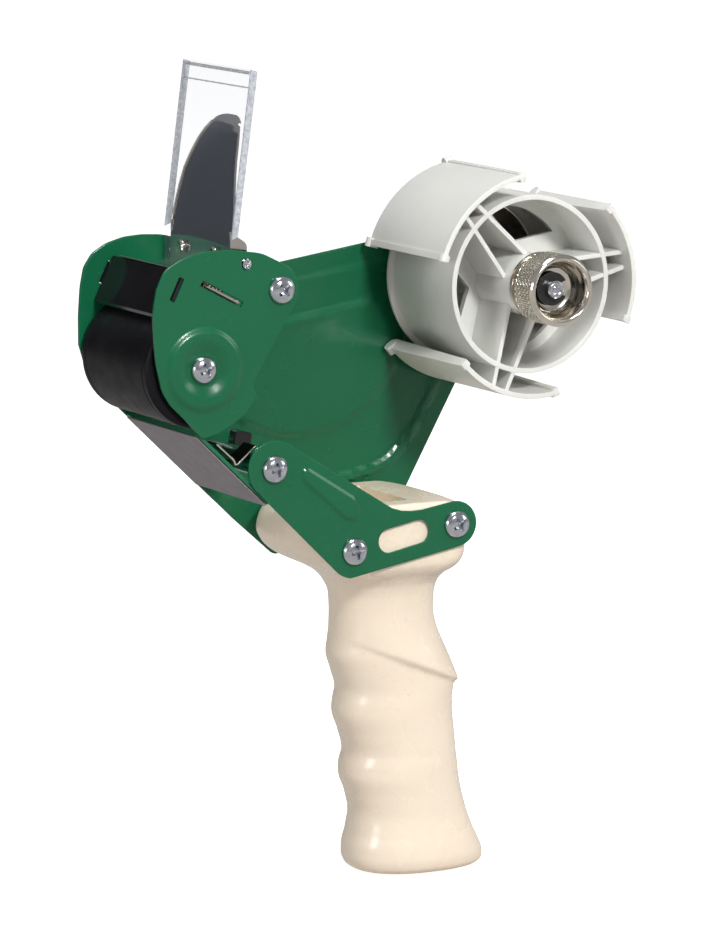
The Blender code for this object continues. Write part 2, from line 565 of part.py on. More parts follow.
# ---------------------------------------------------------------- shield
rod("shield_rod", PIVOT, ROD_R, -OUTER - 0.3, OUTER + 0.3, "zinc", 20)

EAR = 22.0  # outer face of each folded ear
FACE_X = -80.7  # front face of the tongue's base
TONGUE = [  # (z, lean of the middle line, half width)
    (210.0, 0.0, EAR), (216.0, 0.0, EAR), (221.0, 0.3, EAR), (226.0, 1.0, 21.8), (231.0, 1.8, 21.0),
    (236.5, 2.6, 19.7), (242.0, 3.6, 18.2), (247.0, 5.0, 16.2), (251.5, 6.6, 14.2), (255.0, 8.1, 12.0),
    (257.8, 9.6, 9.4), (259.5, 10.7, 6.6), (260.4, 11.3, 3.0),
]
tongue_points, tongue_faces = [], []
TONGUE_SHEET = 0.8
for i, (z, lean, half) in enumerate(TONGUE):
    below = TONGUE[max(i - 1, 0)]
    above = TONGUE[min(i + 1, len(TONGUE) - 1)]
    slope = Vector((above[1] - below[1], above[0] - below[0])).normalized()
    back = Vector((slope.y, -slope.x)) * TONGUE_SHEET
    for x, height in ((FACE_X + lean, z), (FACE_X + lean + back.x, z + back.y)):
        tongue_points += [(x, -half, height), (x, half, height)]
for i in range(len(TONGUE) - 1):
    a = 4 * i
    for p, q in ((0, 1), (1, 3), (3, 2), (2, 0)):
        tongue_faces.append([a + p, a + q, a + q + 4, a + p + 4])
top = 4 * (len(TONGUE) - 1)
tongue_faces += [[0, 1, 3, 2], [top + 2, top + 3, top + 1, top]]
tongue = mesh_object("shield_tongue", tongue_points, tongue_faces, "steel")
for side, name in ((-1, "ear_near"), (1, "ear_far")):
    low, high = sorted((side * EAR, side * (EAR - 0.8)))
    ear = rounded([(FACE_X + 0.2, 210.2, 0), (-74.4, 210.2, 2.6), (-74.4, 220.4, 2.6), (FACE_X + 0.2, 224.5, 0)])
    fuse(tongue, prism(name, ear, low, high))
cut(tongue,
    rod("ear_bore", PIVOT, ROD_R + 0.15, -EAR - 2, EAR + 2, segments=20),
    *[prism(f"rivet_hole_{i}", rounded([(FACE_X - 2, 215.1, 0), (FACE_X + 4, 215.1, 0), (FACE_X + 4, 217.9, 0),
                                       (FACE_X - 2, 217.9, 0)]), y - 1.4, y + 1.4) for i, y in enumerate((-12, 12))])

film_top = (FACE_X - 0.25 + math.tan(LEAN) * 56.0, 277.0)
film = prism("shield_film", [(FACE_X - 0.25, 208.6), (FACE_X - 0.25, 221.0), (film_top[0] - 0.6, 277.0),
                             (film_top[0] - 1.1, 277.0), (FACE_X - 0.75, 221.0), (FACE_X - 0.75, 208.6)],
             -24.8, 24.8, "clear_film")
FLANGE = 2.3  # depth of the film's folded side edges
for side, name in ((-1, "film_edge_near"), (1, "film_edge_far")):
    low, high = sorted((side * 24.8, side * 24.25))
    fuse(film, prism(name, [(FACE_X - 0.7, 222.0), (FACE_X - 0.7 + FLANGE, 223.0), (film_top[0] - 1.05 + FLANGE, 276.2),
                            (film_top[0] - 1.05, 276.9)], low, high))
cut(film, *[prism(f"film_hole_{i}", [(FACE_X - 3, 215.0), (FACE_X + 3, 215.0), (FACE_X + 3, 218.0), (FACE_X - 3, 218.0)],
                  y - 1.5, y + 1.5) for i, y in enumerate((-12, 12))])


def cross_rivet(name, y):
    """A rivet along X, through the film and the tongue."""
    profile = [(0, FACE_X - 1.9), (1.6, FACE_X - 1.7), (2.3, FACE_X - 0.95), (1.15, FACE_X - 0.9),
               (1.15, FACE_X + 1.0), (2.0, FACE_X + 1.05), (1.4, FACE_X + 1.5), (0, FACE_X + 1.55)]
    points, faces, sides = [], [], 14
    for radius, x in profile:
        for k in range(sides if radius else 1):
            turn = 2 * math.pi * k / sides
            points.append((x, y + radius * math.cos(turn), 216.5 + radius * math.sin(turn)))
    rows = len(profile) - 2
    for k in range(sides):
        j = (k + 1) % sides
        faces.append([0, 1 + k, 1 + j])
        for row in range(rows - 1):
            a = 1 + row * sides
            faces.append([a + k, a + sides + k, a + sides + j, a + j])
        faces.append([1 + (rows - 1) * sides + k, len(points) - 1, 1 + (rows - 1) * sides + j])
    return mesh_object(name, points, faces, "nickel")


cross_rivet("shield_rivet_near", -12)
cross_rivet("shield_rivet_far", 12)


def torsion_spring(name, side):
    """A coil round the shield rod, one leg up the back of the tongue and one leg over the tie bar."""
    inside, width, turns, steps, mean = 15.6, 4.6, 4.25, 12, 2.15
    count = int(turns * steps)
    path = [(FACE_X + 1.6, side * inside, 222.0)]
    for k in range(count + 1):
        turn = math.pi + 2 * math.pi * k / steps
        path.append((PIVOT[0] + mean * math.cos(turn), side * (inside + width * k / count),
                     PIVOT[1] + mean * math.sin(turn)))
    path.append((-70.0, side * (inside + width), 211.4))
    path.append((-62.8, side * (inside + width), 210.0))
    return tube(name, path, 0.35, "steel", 6)


torsion_spring("torsion_spring_near", -1)
torsion_spring("torsion_spring_far", 1)


# ---------------------------------------------------------------- joint axes
def set_origin(name, x, y, z):
    """Moves an object's origin onto its joint axis without moving its shape."""
    obj = bpy.data.objects[name]
    shift = Vector((x, y, z - DATUM)) * MM
    for vertex in obj.data.vertices:
        vertex.co -= shift
    obj.location = shift


for name in ("roller_sleeve", "roller_core"):
    set_origin(name, ROLLER[0], 0, ROLLER[1])
for name in ("pressure_washer", "tension_knob", "brake_disc"):
    set_origin(name, HUB[0], 0, HUB[1])
for name in ("shield_film", "shield_rivet_near", "shield_rivet_far"):
    set_origin(name, PIVOT[0], 0, PIVOT[1])
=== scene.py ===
"""Looks of the tape gun dispenser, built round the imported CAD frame.

Shapes are drawn in millimetres on the CAD's axes, with heights measured from DATUM below the butt face.
Outlines are lists of (x, z) points. The open side is at negative y and the main plate at positive y.
"""

import math
from math import cos, pi, radians, sin

import bmesh
import bpy
import numpy as np
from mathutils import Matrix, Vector, geometry


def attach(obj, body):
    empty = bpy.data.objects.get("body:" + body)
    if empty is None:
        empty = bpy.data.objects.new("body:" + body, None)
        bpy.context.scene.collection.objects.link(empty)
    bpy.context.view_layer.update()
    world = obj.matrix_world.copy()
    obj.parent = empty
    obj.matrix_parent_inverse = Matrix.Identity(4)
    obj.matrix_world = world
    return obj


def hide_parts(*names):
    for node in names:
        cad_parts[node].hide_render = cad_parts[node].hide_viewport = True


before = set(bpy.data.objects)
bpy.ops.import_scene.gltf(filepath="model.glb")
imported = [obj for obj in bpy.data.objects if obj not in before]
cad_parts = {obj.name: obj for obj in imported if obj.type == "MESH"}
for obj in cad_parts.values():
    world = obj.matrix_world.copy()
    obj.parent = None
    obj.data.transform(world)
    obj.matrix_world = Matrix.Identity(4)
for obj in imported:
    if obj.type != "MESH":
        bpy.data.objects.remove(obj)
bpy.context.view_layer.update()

MM = 0.001
DATUM = 2
SHEET = 1.2
INNER = 26  # y of the plates' inner faces, on both sides
OUTER = INNER + SHEET
GAP = 0.15  # between pieces that would otherwise share a face
ROLLER, ROLLER_R = (-92.7, 180.8), 19.5
TIE = (-64.6, 205.3)
PIVOT = (-77.1, 214.3)
POST = (-67.2, 146.5)
GRIP_FRONT, GRIP_REAR = (-37.8, 116.9), (0.6, 123.1)
HUB = (30.5, 201.3)
SLOT_FRONT = ((-100.6, 210.9), (-104, 204))
SLOT_BLADE = ((-93.3, 208.9), (-79, 201.3))
FAR_HOLE, NEAR_HOLE, ROD_HOLE, AXLE_HOLE = 2.9, 2.75, 1.85, 5.1
CORE_R = 38
DRUM_R, DRUM_WALL = 30, 1.8
DRUM_BORE = DRUM_R - DRUM_WALL
BORE_R, BOSS_R = 5.25, 10.5
PETALS = ((10, 31), (131, 31.5), (-108.5, 29.5))  # middle and half width of each, in degrees
PETAL_FRONT, PETAL_BACK = -29, 22.3
LIP_R, LIP_FRONT = 25.2, 16.2
WEB_FRONT, WEB_BACK = -4.6, -2.2
LEAN = radians(8)  # of the film on the shield


# ---- materials
TINT_SHARE, SPECK_SHARE = 0.82, 0.72  # brightness of patches and specks, as shares of the colour's


def principled(name, **fixed):
    """A new material with these constants on its shader's sockets."""
    made = bpy.data.materials.new(name)
    made.use_nodes = True
    shader = made.node_tree.nodes["Principled BSDF"]
    for key, value in fixed.items():
        shader.inputs[key.replace("_", " ")].default_value = value
    return made


def span(tree, source, low, high, out_low, out_high):
    """Stretches the values of source from low..high to out_low..out_high."""
    node = tree.nodes.new("ShaderNodeMapRange")
    for socket, value in zip(("From Min", "From Max", "To Min", "To Max"), (low, high, out_low, out_high)):
        node.inputs[socket].default_value = value
    tree.links.new(source, node.inputs["Value"])
    return node.outputs["Result"]


def look(name, color, rough, metallic=0, tint=None, vary=0.25, patch=9, rough_vary=0.06, grain=0.5,
         grain_height=0.004, wave=0, wave_size=1.6, scratch=0, scratch_way=(1, 1, 1), edge=None, **fixed):
    """A procedural material, with patches of colour, grain, surface waves and scratches, all sized in mm;
    given edge, sharp rims get a lighter colour that is partly paint worn thin and partly a painted highlight.
    """
    made = principled(name, Metallic=metallic, **fixed)
    tree = made.node_tree
    nodes, link = tree.nodes, tree.links.new
    shader = nodes["Principled BSDF"]
    place = nodes.new("ShaderNodeTexCoord").outputs["Object"]

    def texture(size, detail=3, stretch=None):
        source = place
        if stretch:
            turn = nodes.new("ShaderNodeMapping")
            turn.inputs["Scale"].default_value = stretch
            link(place, turn.inputs["Vector"])
            source = turn.outputs["Vector"]
        noise = nodes.new("ShaderNodeTexNoise")
        noise.inputs["Scale"].default_value = 1000 / size
        noise.inputs["Detail"].default_value = detail
        link(source, noise.inputs["Vector"])
        return noise.outputs["Fac"]

    def blend(factor, first, second):
        mix = nodes.new("ShaderNodeMix")
        mix.data_type = "RGBA"
        link(factor, mix.inputs["Factor"])
        for socket, value in (("A", first), ("B", second)):
            target = [s for s in mix.inputs if s.name == socket and s.type == "RGBA"][0]
            if isinstance(value, tuple):
                target.default_value = (*value, 1)
            else:
                link(value, target)
        return [s for s in mix.outputs if s.type == "RGBA"][0]

    tint = tint or tuple(c * TINT_SHARE for c in color)
    shade = blend(span(tree, texture(patch), 0.35, 0.7, 0, vary), color, tint)
    speck = span(tree, texture(grain * 2.2, 2), 0.66, 0.74, 0, 0.35)
    shade = blend(speck, shade, tuple(c * SPECK_SHARE for c in color))
    # sharp rims take the lighter edge colour: partly paint worn thin there, partly a painted highlight along
    # the rims
    if edge:
        rim_wear_and_sheen = nodes.new("ShaderNodeNewGeometry").outputs["Pointiness"]
        shade = blend(span(tree, rim_wear_and_sheen, 0.53, 0.62, 0, 0.55), shade, edge)
    link(shade, shader.inputs["Base Color"])
    blotches = texture(patch * 0.6, 4)
    roughness = span(tree, blotches, 0.3, 0.7, rough - rough_vary, rough + rough_vary)
    link(roughness, shader.inputs["Roughness"])

    heights = [(texture(grain, 2), grain_height)]
    if wave:
        heights.append((texture(wave_size, 1), wave))
    if scratch:
        heights.append((span(tree, texture(2.2, 2, scratch_way), 0.6, 0.68, 0, 1), -scratch))
    before = None
    for source, height in heights:
        bump = nodes.new("ShaderNodeBump")
        bump.inputs["Strength"].default_value = 1
        bump.inputs["Distance"].default_value = height * MM
        link(source, bump.inputs["Height"])
        if before:
            link(before, bump.inputs["Normal"])
        before = bump.outputs["Normal"]
    link(before, shader.inputs["Normal"])
    return made


LOOKS = {
    # the green's edge colour is a painted highlight on sharp rims, partly also paint worn thin there
    "green": look(
        "green_enamel", (0.005, 0.112, 0.046), 0.24, tint=(0.003, 0.09, 0.036), patch=22, wave=0.012,
        wave_size=2.2, edge=(0.04, 0.23, 0.12), Specular_IOR_Level=0.36, Coat_Weight=0.1,
        Coat_Roughness=0.12),
    "cream": look(
        "cream_plastic", (0.85, 0.735, 0.595), 0.27, tint=(0.83, 0.69, 0.54), patch=30, grain=0.6,
        grain_height=0.003, wave=0.006, wave_size=6, Subsurface_Weight=0.05, Subsurface_Scale=0.002,
        Coat_Weight=0.2, Coat_Roughness=0.12),
    "rubber": look(
        "black_rubber", (0.005, 0.005, 0.007), 0.42, tint=(0.01, 0.01, 0.012), vary=0.8, grain=0.25,
        grain_height=0.012, scratch=0.01, scratch_way=(1, 0.05, 1), Specular_IOR_Level=0.12),
    "gloss": look(
        "black_gloss", (0.007, 0.007, 0.009), 0.13, tint=(0.014, 0.014, 0.016), patch=12, rough_vary=0.05,
        grain=0.4, grain_height=0.002, wave=0.006, wave_size=3),
    "core": look("black_nylon", (0.018, 0.018, 0.02), 0.38, patch=8, grain=0.3, grain_height=0.01),
    "grey": look(
        "grey_pad", (0.22, 0.2, 0.215), 0.62, tint=(0.17, 0.155, 0.17), vary=0.6, patch=5, grain=0.28,
        grain_height=0.05, wave=0.03, wave_size=0.9),
    "hub": look(
        "hub_plastic", (0.74, 0.745, 0.71), 0.36, tint=(0.68, 0.685, 0.65), vary=0.5, patch=18, grain=0.45,
        grain_height=0.009, wave=0.02, wave_size=3.5, Subsurface_Weight=0.06, Subsurface_Scale=0.003),
    "nickel": look(
        "bright_nickel", (0.73, 0.69, 0.62), 0.13, 1, tint=(0.6, 0.55, 0.47), vary=0.5, patch=6,
        grain_height=0.002, scratch=0.002, scratch_way=(1, 0.1, 1)),
    "zinc": look(
        "zinc_plate", (0.6, 0.63, 0.66), 0.17, 1, tint=(0.5, 0.52, 0.6), vary=0.9, patch=3.2, grain=0.45,
        grain_height=0.012, scratch=0.003, scratch_way=(1, 1, 0.12)),
    "steel": look(
        "mirror_steel", (0.56, 0.53, 0.5), 0.1, 1, tint=(0.5, 0.46, 0.42), vary=0.5,
        rough_vary=0.04, grain_height=0.0015, scratch=0.0015, scratch_way=(1, 1, 0.06)),
    "wire": look("spring_wire", (0.52, 0.51, 0.5), 0.22, 1, patch=3, grain=0.3, grain_height=0.003),
    "film_edge": look(
        "film_edge", (0.34, 0.36, 0.42), 0.1, tint=(0.62, 0.65, 0.7), vary=1, patch=1.2,
        grain_height=0.01, IOR=1.5, Alpha=0.62),
    "fibre": look(
        "brown_fibre", (0.25, 0.14, 0.07), 0.8, tint=(0.17, 0.09, 0.045), vary=0.9, patch=1.5, grain=0.2,
        grain_height=0.04),
    "dark_steel": look(
        "dark_steel", (0.3, 0.275, 0.25), 0.28, 1, tint=(0.17, 0.15, 0.13), vary=0.9, patch=14,
        rough_vary=0.08, scratch=0.002, scratch_way=(0.1, 1, 1)),
    "oxide": look("black_oxide", (0.012, 0.012, 0.013), 0.33, patch=2, grain=0.3),
}


def film_look():
    """Clear sheet: nearly invisible face on, bluish and brighter where it is seen edge on."""
    made = look("clear_film", (0.46, 0.54, 0.68), 0.06, tint=(0.4, 0.48, 0.62), patch=20, rough_vary=0.03,
                grain_height=0.001, wave=0.01, wave_size=9, IOR=1.5)
    tree = made.node_tree
    facing = tree.nodes.new("ShaderNodeLayerWeight")
    facing.inputs["Blend"].default_value = 0.35
    alpha = span(tree, facing.outputs["Facing"], 0.45, 0.95, 0.06, 0.6)
    tree.links.new(alpha, tree.nodes["Principled BSDF"].inputs["Alpha"])
    return made


LOOKS["film"] = film_look()
SLOTS = {finish: finish for finish in LOOKS}
SLOTS.update(gloss="black_plastic", core="black_plastic", oxide="black_plastic", hub="hub_plastic",
             wire="steel", dark_steel="steel", film_edge="film")


# ---- shape helpers
def placed(name, data):
    """A new object in the scene."""
    obj = bpy.data.objects.new(name, data)
    bpy.context.scene.collection.objects.link(obj)
    return obj


def raw(name, points, faces):
    """A closed mesh from points in mm, with its normals outwards."""
    mesh = bpy.data.meshes.new(name)
    mesh.from_pydata([(x * MM, y * MM, (z - DATUM) * MM) for x, y, z in points], [], faces)
    work = bmesh.new()
    work.from_mesh(mesh)
    bmesh.ops.recalc_face_normals(work, faces=work.faces)
    work.to_mesh(mesh)
    work.free()
    return placed(name, mesh)


def around(centre, radius, turn):
    """The (x, z) point at this radius from centre, turned by this angle."""
    return (centre[0] + radius * cos(turn), centre[1] + radius * sin(turn))


def ring_faces(rings, count, closed=False):
    """Faces that join successive rings of count points, with the end rings capped, or joined if closed."""
    faces = []
    for ring in range(rings if closed else rings - 1):
        low, high = ring * count, (ring + 1) % rings * count
        for k in range(count):
            j = (k + 1) % count
            faces.append([low + k, low + j, high + j, high + k])
    if not closed:
        faces += [list(range(count))[::-1], list(range((rings - 1) * count, rings * count))]
    return faces


def dress(obj, finish, body, *replaced, smooth=33):
    """Gives a piece its finish, its body and the CAD nodes that it stands for."""
    obj.data.materials.clear()
    obj.data.materials.append(LOOKS[finish])
    obj.data.shade_smooth()
    obj.data.set_sharp_from_angle(angle=radians(smooth))
    weight = obj.modifiers.new("even_normals", "WEIGHTED_NORMAL")
    weight.keep_sharp = True
    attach(obj, body)
    if replaced:
        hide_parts(*replaced)
    return obj


def combine(target, others, operation):
    """Applies Booleans at once and removes their helpers."""
    for other in others:
        step = target.modifiers.new("step", "BOOLEAN")
        step.operation = operation
        step.solver = "EXACT"
        step.object = other
    bpy.context.view_layer.update()
    graph = bpy.context.evaluated_depsgraph_get()
    mesh = bpy.data.meshes.new_from_object(target.evaluated_get(graph))
    target.modifiers.clear()
    target.data = mesh
    for other in others:
        bpy.data.objects.remove(other, do_unlink=True)
    return target


STRAIGHT = radians(172)  # corners flatter than this stay as they are
MOST = 0.42  # share of a side that one corner's curve may take


def fillet(line, radius, closed=True):
    """Turns each corner of a line of 2-D points with a small curve."""
    result = []
    count = len(line)
    for i, (x, y) in enumerate(line):
        here = Vector((x, y))
        back, ahead = Vector(line[i - 1]) - here, Vector(line[(i + 1) % count]) - here
        kept = not closed and i in (0, count - 1)
        if kept or min(back.length, ahead.length) < 1e-6 or back.angle(ahead) > STRAIGHT:
            result.append((x, y))
            continue
        a = here + back * min(radius / back.length, MOST)
        b = here + ahead * min(radius / ahead.length, MOST)
        result += [tuple(a), tuple((a + b + here * 2) / 4), tuple(b)]
    return result


def lathe(name, profile, centre, segments=64, closed=False, soft=0.25, sideways=False):
    """(radius, y) profile turned round the Y axis through centre, with softened corners.

    Sideways, the profile is (radius, x) and centre is (y, z), and it turns round the X axis.
    """
    profile = fillet(profile, soft, closed) if soft else profile
    points, rings = [], []
    for radius, y in profile:
        if radius < 1e-6:
            rings.append([len(points)] * segments)
            points.append((centre[0], y, centre[1]))
            continue
        rings.append(list(range(len(points), len(points) + segments)))
        for k in range(segments):
            x, z = around(centre, radius, 2 * pi * k / segments)
            points.append((x, y, z))
    faces = []
    pairs = list(zip(rings, rings[1:])) + ([(rings[-1], rings[0])] if closed else [])
    for a, b in pairs:
        for k in range(segments):
            j = (k + 1) % segments
            face = list(dict.fromkeys((a[k], a[j], b[j], b[k])))
            if len(face) > 2:
                faces.append(face)
    return raw(name, [(y, x, z) for x, y, z in points] if sideways else points, faces)


def signed_area(outline):
    return sum(a[0] * b[1] - b[0] * a[1] for a, b in zip(outline, outline[1:] + outline[:1])) / 2


def inset(outline, distance):
    """The outline moved inwards by distance, or outwards where it is negative."""
    turn = 1 if signed_area(outline) > 0 else -1
    moved = []
    for i, here in enumerate(outline):
        here = Vector(here)
        before = (here - Vector(outline[i - 1])).normalized()
        after = (Vector(outline[(i + 1) % len(outline)]) - here).normalized()
        way = Vector((-(before.y + after.y), before.x + after.x)) * turn
        if way.length < 1e-6:
            way = Vector((-before.y, before.x)) * turn
        way.normalize()
        facing = max(0.35, way.dot(Vector((-before.y, before.x)) * turn))
        moved.append(tuple(here + way * (distance / facing)))
    return moved


EDGE_STEPS = ((1, 0), (0.3, 0.3), (0, 1))  # (share inwards, share deep) of a rounded edge


def slab(name, outline, y0, y1, edge=0.25):
    """A closed (x, z) outline drawn out along Y, with rounded edges at both ends."""
    rings = [(inset(outline, edge * a), y0 + edge * b) for a, b in EDGE_STEPS]
    rings += [(inset(outline, edge * a), y1 - edge * b) for a, b in EDGE_STEPS[::-1]]
    points = [(x, y, z) for ring, y in rings for x, z in ring]
    return raw(name, points, ring_faces(len(rings), len(outline)))


def slab_pair(name, outline, inner, outer, edge):
    """The same slab on both sides, between these distances from the middle."""
    return [slab(name, outline, *sorted((side * inner, side * outer)), edge) for side in (-1, 1)]


def tube(name, path, radius, sides=12):
    """A round wire along a path of 3-D points."""
    path = [Vector(p) for p in path]
    points, side = [], None
    for i, here in enumerate(path):
        ahead = (path[min(i + 1, len(path) - 1)] - path[max(i - 1, 0)]).normalized()
        side = ahead.orthogonal() if side is None else side
        side = (side - ahead * side.dot(ahead)).normalized()
        up = ahead.cross(side)
        for k in range(sides):
            turn = 2 * pi * k / sides
            points.append(tuple(here + (side * cos(turn) + up * sin(turn)) * radius))
    return raw(name, points, ring_faces(len(path), sides))


def rounded(corners, steps=8):
    """An outline from (x, z, radius) corners, each turned with an arc."""
    outline = []
    for i, (x, z, radius) in enumerate(corners):
        here = Vector((x, z))
        if radius <= 0:
            outline.append((x, z))
            continue
        back = (Vector(corners[i - 1][:2]) - here).normalized()
        ahead = (Vector(corners[(i + 1) % len(corners)][:2]) - here).normalized()
        half = back.angle(ahead) / 2
        reach = radius / math.tan(half)
        centre = here + (back + ahead).normalized() * (radius / sin(half))
        first, last = here + back * reach - centre, here + ahead * reach - centre
        start = math.atan2(first.y, first.x)
        sweep = math.atan2(first.x * last.y - first.y * last.x, first.dot(last))
        outline += [around(centre, radius, start + sweep * k / steps) for k in range(steps + 1)]
    return outline


def arc(centre, radius, first, last, steps=18):
    """Points on a circle, from first to last in degrees."""
    turns = [radians(first + (last - first) * k / steps) for k in range(steps + 1)]
    return [around(centre, radius, turn) for turn in turns]


def along(start, end, distance, side=0):
    """The point at this distance from start towards end, moved to the left by side."""
    way = (Vector(end) - Vector(start)).normalized()
    found = Vector(start) + way * distance + Vector((-way.y, way.x)) * side
    return (found.x, found.y)


def slot_outline(start, end, half, margin=0, corner=0):
    """A straight bar of this half width between two points, larger all round by margin."""
    length = (Vector(end) - Vector(start)).length
    low, high, wide = -margin, length + margin, half + margin
    ends = [along(start, end, low, -wide), along(start, end, high, -wide),
            along(start, end, high, wide), along(start, end, low, wide)]
    return rounded([(*p, corner) for p in ends], 4) if corner else ends


def strip_outline(line, thickness):
    """The closed outline of a sheet of this thickness, on the right side of a line of (x, z) points."""
    offset = []
    for i, here in enumerate(line):
        a, b = Vector(line[max(i - 1, 0)]), Vector(line[min(i + 1, len(line) - 1)])
        before = (Vector(here) - a).normalized() if i else (b - Vector(here)).normalized()
        after = (b - Vector(here)).normalized() if i < len(line) - 1 else before
        normal = Vector((before.y + after.y, -before.x - after.x)).normalized()
        spread = max(0.4, normal.dot(Vector((before.y, -before.x))))
        offset.append(tuple(Vector(here) + normal * (thickness / spread)))
    return [tuple(p) for p in line] + offset[::-1]


def resample(outline, step):
    """The outline with its sides cut into pieces no longer than step."""
    result = []
    for a, b in zip(outline, outline[1:] + outline[:1]):
        a, b = Vector(a), Vector(b)
        count = max(1, math.ceil((b - a).length / step))
        result += [tuple(a.lerp(b, k / count)) for k in range(count)]
    return [p for i, p in enumerate(result) if (Vector(p) - Vector(result[i - 1])).length > 0.02]


def inside(points, outline):
    """Which of an array of points lie inside the outline."""
    found = np.zeros(len(points), bool)
    for (ax, az), (bx, bz) in zip(outline, outline[1:] + outline[:1]):
        if az == bz:
            continue
        crosses = ((az > points[:, 1]) != (bz > points[:, 1])) & (
            points[:, 0] < (bx - ax) * (points[:, 1] - az) / (bz - az) + ax)
        found ^= crosses
    return found


def in_sheet(points, loops):
    """Which of an array of points lie inside the first loop and outside the others."""
    found = inside(points, loops[0])
    for hole in loops[1:]:
        found &= ~inside(points, hole)
    return found


def clearance(points, lines):
    """Distance of each point from the nearest segment of the given (start, end) pairs."""
    best = np.full(len(points), 1e9)
    for a, b in lines:
        a, b = np.array(a), np.array(b)
        way = b - a
        share = np.clip(((points - a) @ way) / max(1e-12, way @ way), 0, 1)
        best = np.minimum(best, np.linalg.norm(points - a - share[:, None] * way, axis=1))
    return best


def pairs_of(line, closed=False):
    return list(zip(line, line[1:])) + ([(line[-1], line[0])] if closed else [])


def panel(name, outline, holes, front, relief, thickness=SHEET, step=1.3, edge=0.3):
    """Pressed sheet metal with holes and rounded rims, whose front face is at y = front + relief(points)."""
    loops = [resample(outline, step)] + [resample(h, min(step, 0.7)) for h in holes]
    tight = [inset(loops[0], edge)] + [inset(h, -edge) for h in loops[1:]]
    low, high = np.min(loops[0], axis=0), np.max(loops[0], axis=0)
    xs, zs = np.arange(low[0], high[0], step), np.arange(low[1], high[1], step * 0.87)
    grid = np.array([(x + (step / 2 if k % 2 else 0), z) for k, z in enumerate(zs) for x in xs])
    rims = [pair for loop in tight for pair in pairs_of(loop, True)]
    grid = grid[in_sheet(grid, tight)]
    grid = grid[clearance(grid, rims) > step * 0.45]
    flat = [p for loop in tight for p in loop]
    edges, start = [], 0
    for loop in tight:
        edges += [(start + i, start + (i + 1) % len(loop)) for i in range(len(loop))]
        start += len(loop)
    vectors = [Vector(p) for p in flat] + [Vector(p) for p in grid]
    made = geometry.delaunay_2d_cdt(vectors, edges, [], 0, 1e-5)
    verts, tris, origins = np.array([tuple(v) for v in made[0]]), made[2], made[3]
    middles = np.array([verts[list(t)].mean(axis=0) for t in tris])
    tris = [list(t) for t, kept in zip(tris, in_sheet(middles, tight)) if kept]
    count = len(verts)
    heights = front + relief(verts)
    points = [(x, y, z) for (x, z), y in zip(verts, heights)]
    points += [(x, y + thickness, z) for x, y, z in points]
    faces = tris + [[count + i for i in t[::-1]] for t in tris]
    index = {}
    for new, olds in enumerate(origins):
        for old in olds:
            index[old] = new
    start = 0
    for loop, inner in zip(loops, tight):
        ring = [index[start + i] for i in range(len(inner))]
        start += len(inner)
        base = front + relief(np.array(loop))
        rows = [ring]
        for depth, share in ((0.3 * edge, 0.3), (edge, 0), (thickness - edge, 0),
                             (thickness - 0.3 * edge, 0.3)):
            rows.append(list(range(len(points), len(points) + len(loop))))
            for (x, z), (tx, tz), y in zip(loop, inner, base):
                points.append((x + (tx - x) * share, y + depth, z + (tz - z) * share))
        rows.append([count + i for i in ring])
        for a, b in zip(rows, rows[1:]):
            for i in range(len(loop)):
                j = (i + 1) % len(loop)
                faces.append([a[i], a[j], b[j], b[i]])
    return raw(name, points, faces)


def smooth_step(x, low, high):
    """Rises smoothly from 0 at low to 1 at high."""
    t = np.clip((x - low) / (high - low), 0, 1)
    return t * t * (3 - 2 * t)


def circle(centre, radius, steps=40):
    return arc(centre, radius, 0, 360 - 360 / steps, steps - 1)


# ---- main plate
NOSE = [(-112.3, 184, 0), (-112.3, 193.5, 20), (-111.6, 203.1, 20), (-110.3, 209.6, 6), (-107.3, 214, 6),
        (-102.1, 217.1, 9), (-95.7, 218.9, 14), (-89, 219.4, 20), (-81.5, 219, 20)]
WEB_TOP, WEB_END = (-99, 163), (-42.9, 109.1)
MAIN_OUTLINE = rounded(NOSE + [
    (-70, 216, 20), (-52, 205.2, 16), (-2.9, 212.5, 0), (47, 219.9, 13), (47.5, 194.3, 8),
    (29.4, 162, 0), (8.6, 124.8, 4), (4.6, 115.6, 5), (-17.1, 112.1, 0), (-40.6, 108, 3.5),
    (*along(WEB_TOP, WEB_END, 60), 0), (*WEB_TOP, 0), (-104.4, 168.4, 4), (-109.8, 175.8, 4)])
DISC, DISC_R = (-30.5, 189.5), 41.3
CREASE = [(-62, 197.6), (-30.6, 202.2), (-4.3, 206.1), (30, 211.2), (60, 216)]
CORNER_BEAD = [(24, 169.5), (18.8, 158.1), (15.4, 151.4), (8.9, 142.5), (3.4, 137.1), (-1.8, 134.9),
               (-12, 132.9), (-22, 131.5)]
RIDGE = [(-40, 186), (-17.7, 189.2), (-0.5, 191.9), (3, 193.4), (6.5, 198)]
DISC_TOP = [(-80, 184.5), (-40, 188.5), (-17.7, 191.6), (10, 196.5)]
PLATEAU_HIGH, DISC_HIGH, RIDGE_HIGH, BEAD_HIGH = 0.45, 0.9, 0.35, 1.15


def above_line(points, line):
    """Height of each point over a line that runs left to right."""
    return points[:, 1] - np.interp(points[:, 0], [p[0] for p in line], [p[1] for p in line])


def main_relief(points):
    """Pressed shapes, towards the open side: a plateau below the crease, a disc, a ridge and a bead."""
    plateau = smooth_step(-above_line(points, CREASE), 0, 1.6)
    left = smooth_step(points[:, 0], -66, -60)
    radius = np.linalg.norm(points - np.array(DISC), axis=1)
    disc = 1 - smooth_step(radius, DISC_R - 0.9, DISC_R + 0.9)
    ridge = np.exp(-((clearance(points, pairs_of(RIDGE)) / 1.3) ** 2))
    bead = 1 - smooth_step(clearance(points, pairs_of(CORNER_BEAD)), 0.9, 2.2)
    disc *= smooth_step(-above_line(points, DISC_TOP), 0, 2.5)
    return -(PLATEAU_HIGH * plateau * left + DISC_HIGH * disc * left + RIDGE_HIGH * ridge * left
             + BEAD_HIGH * bead)


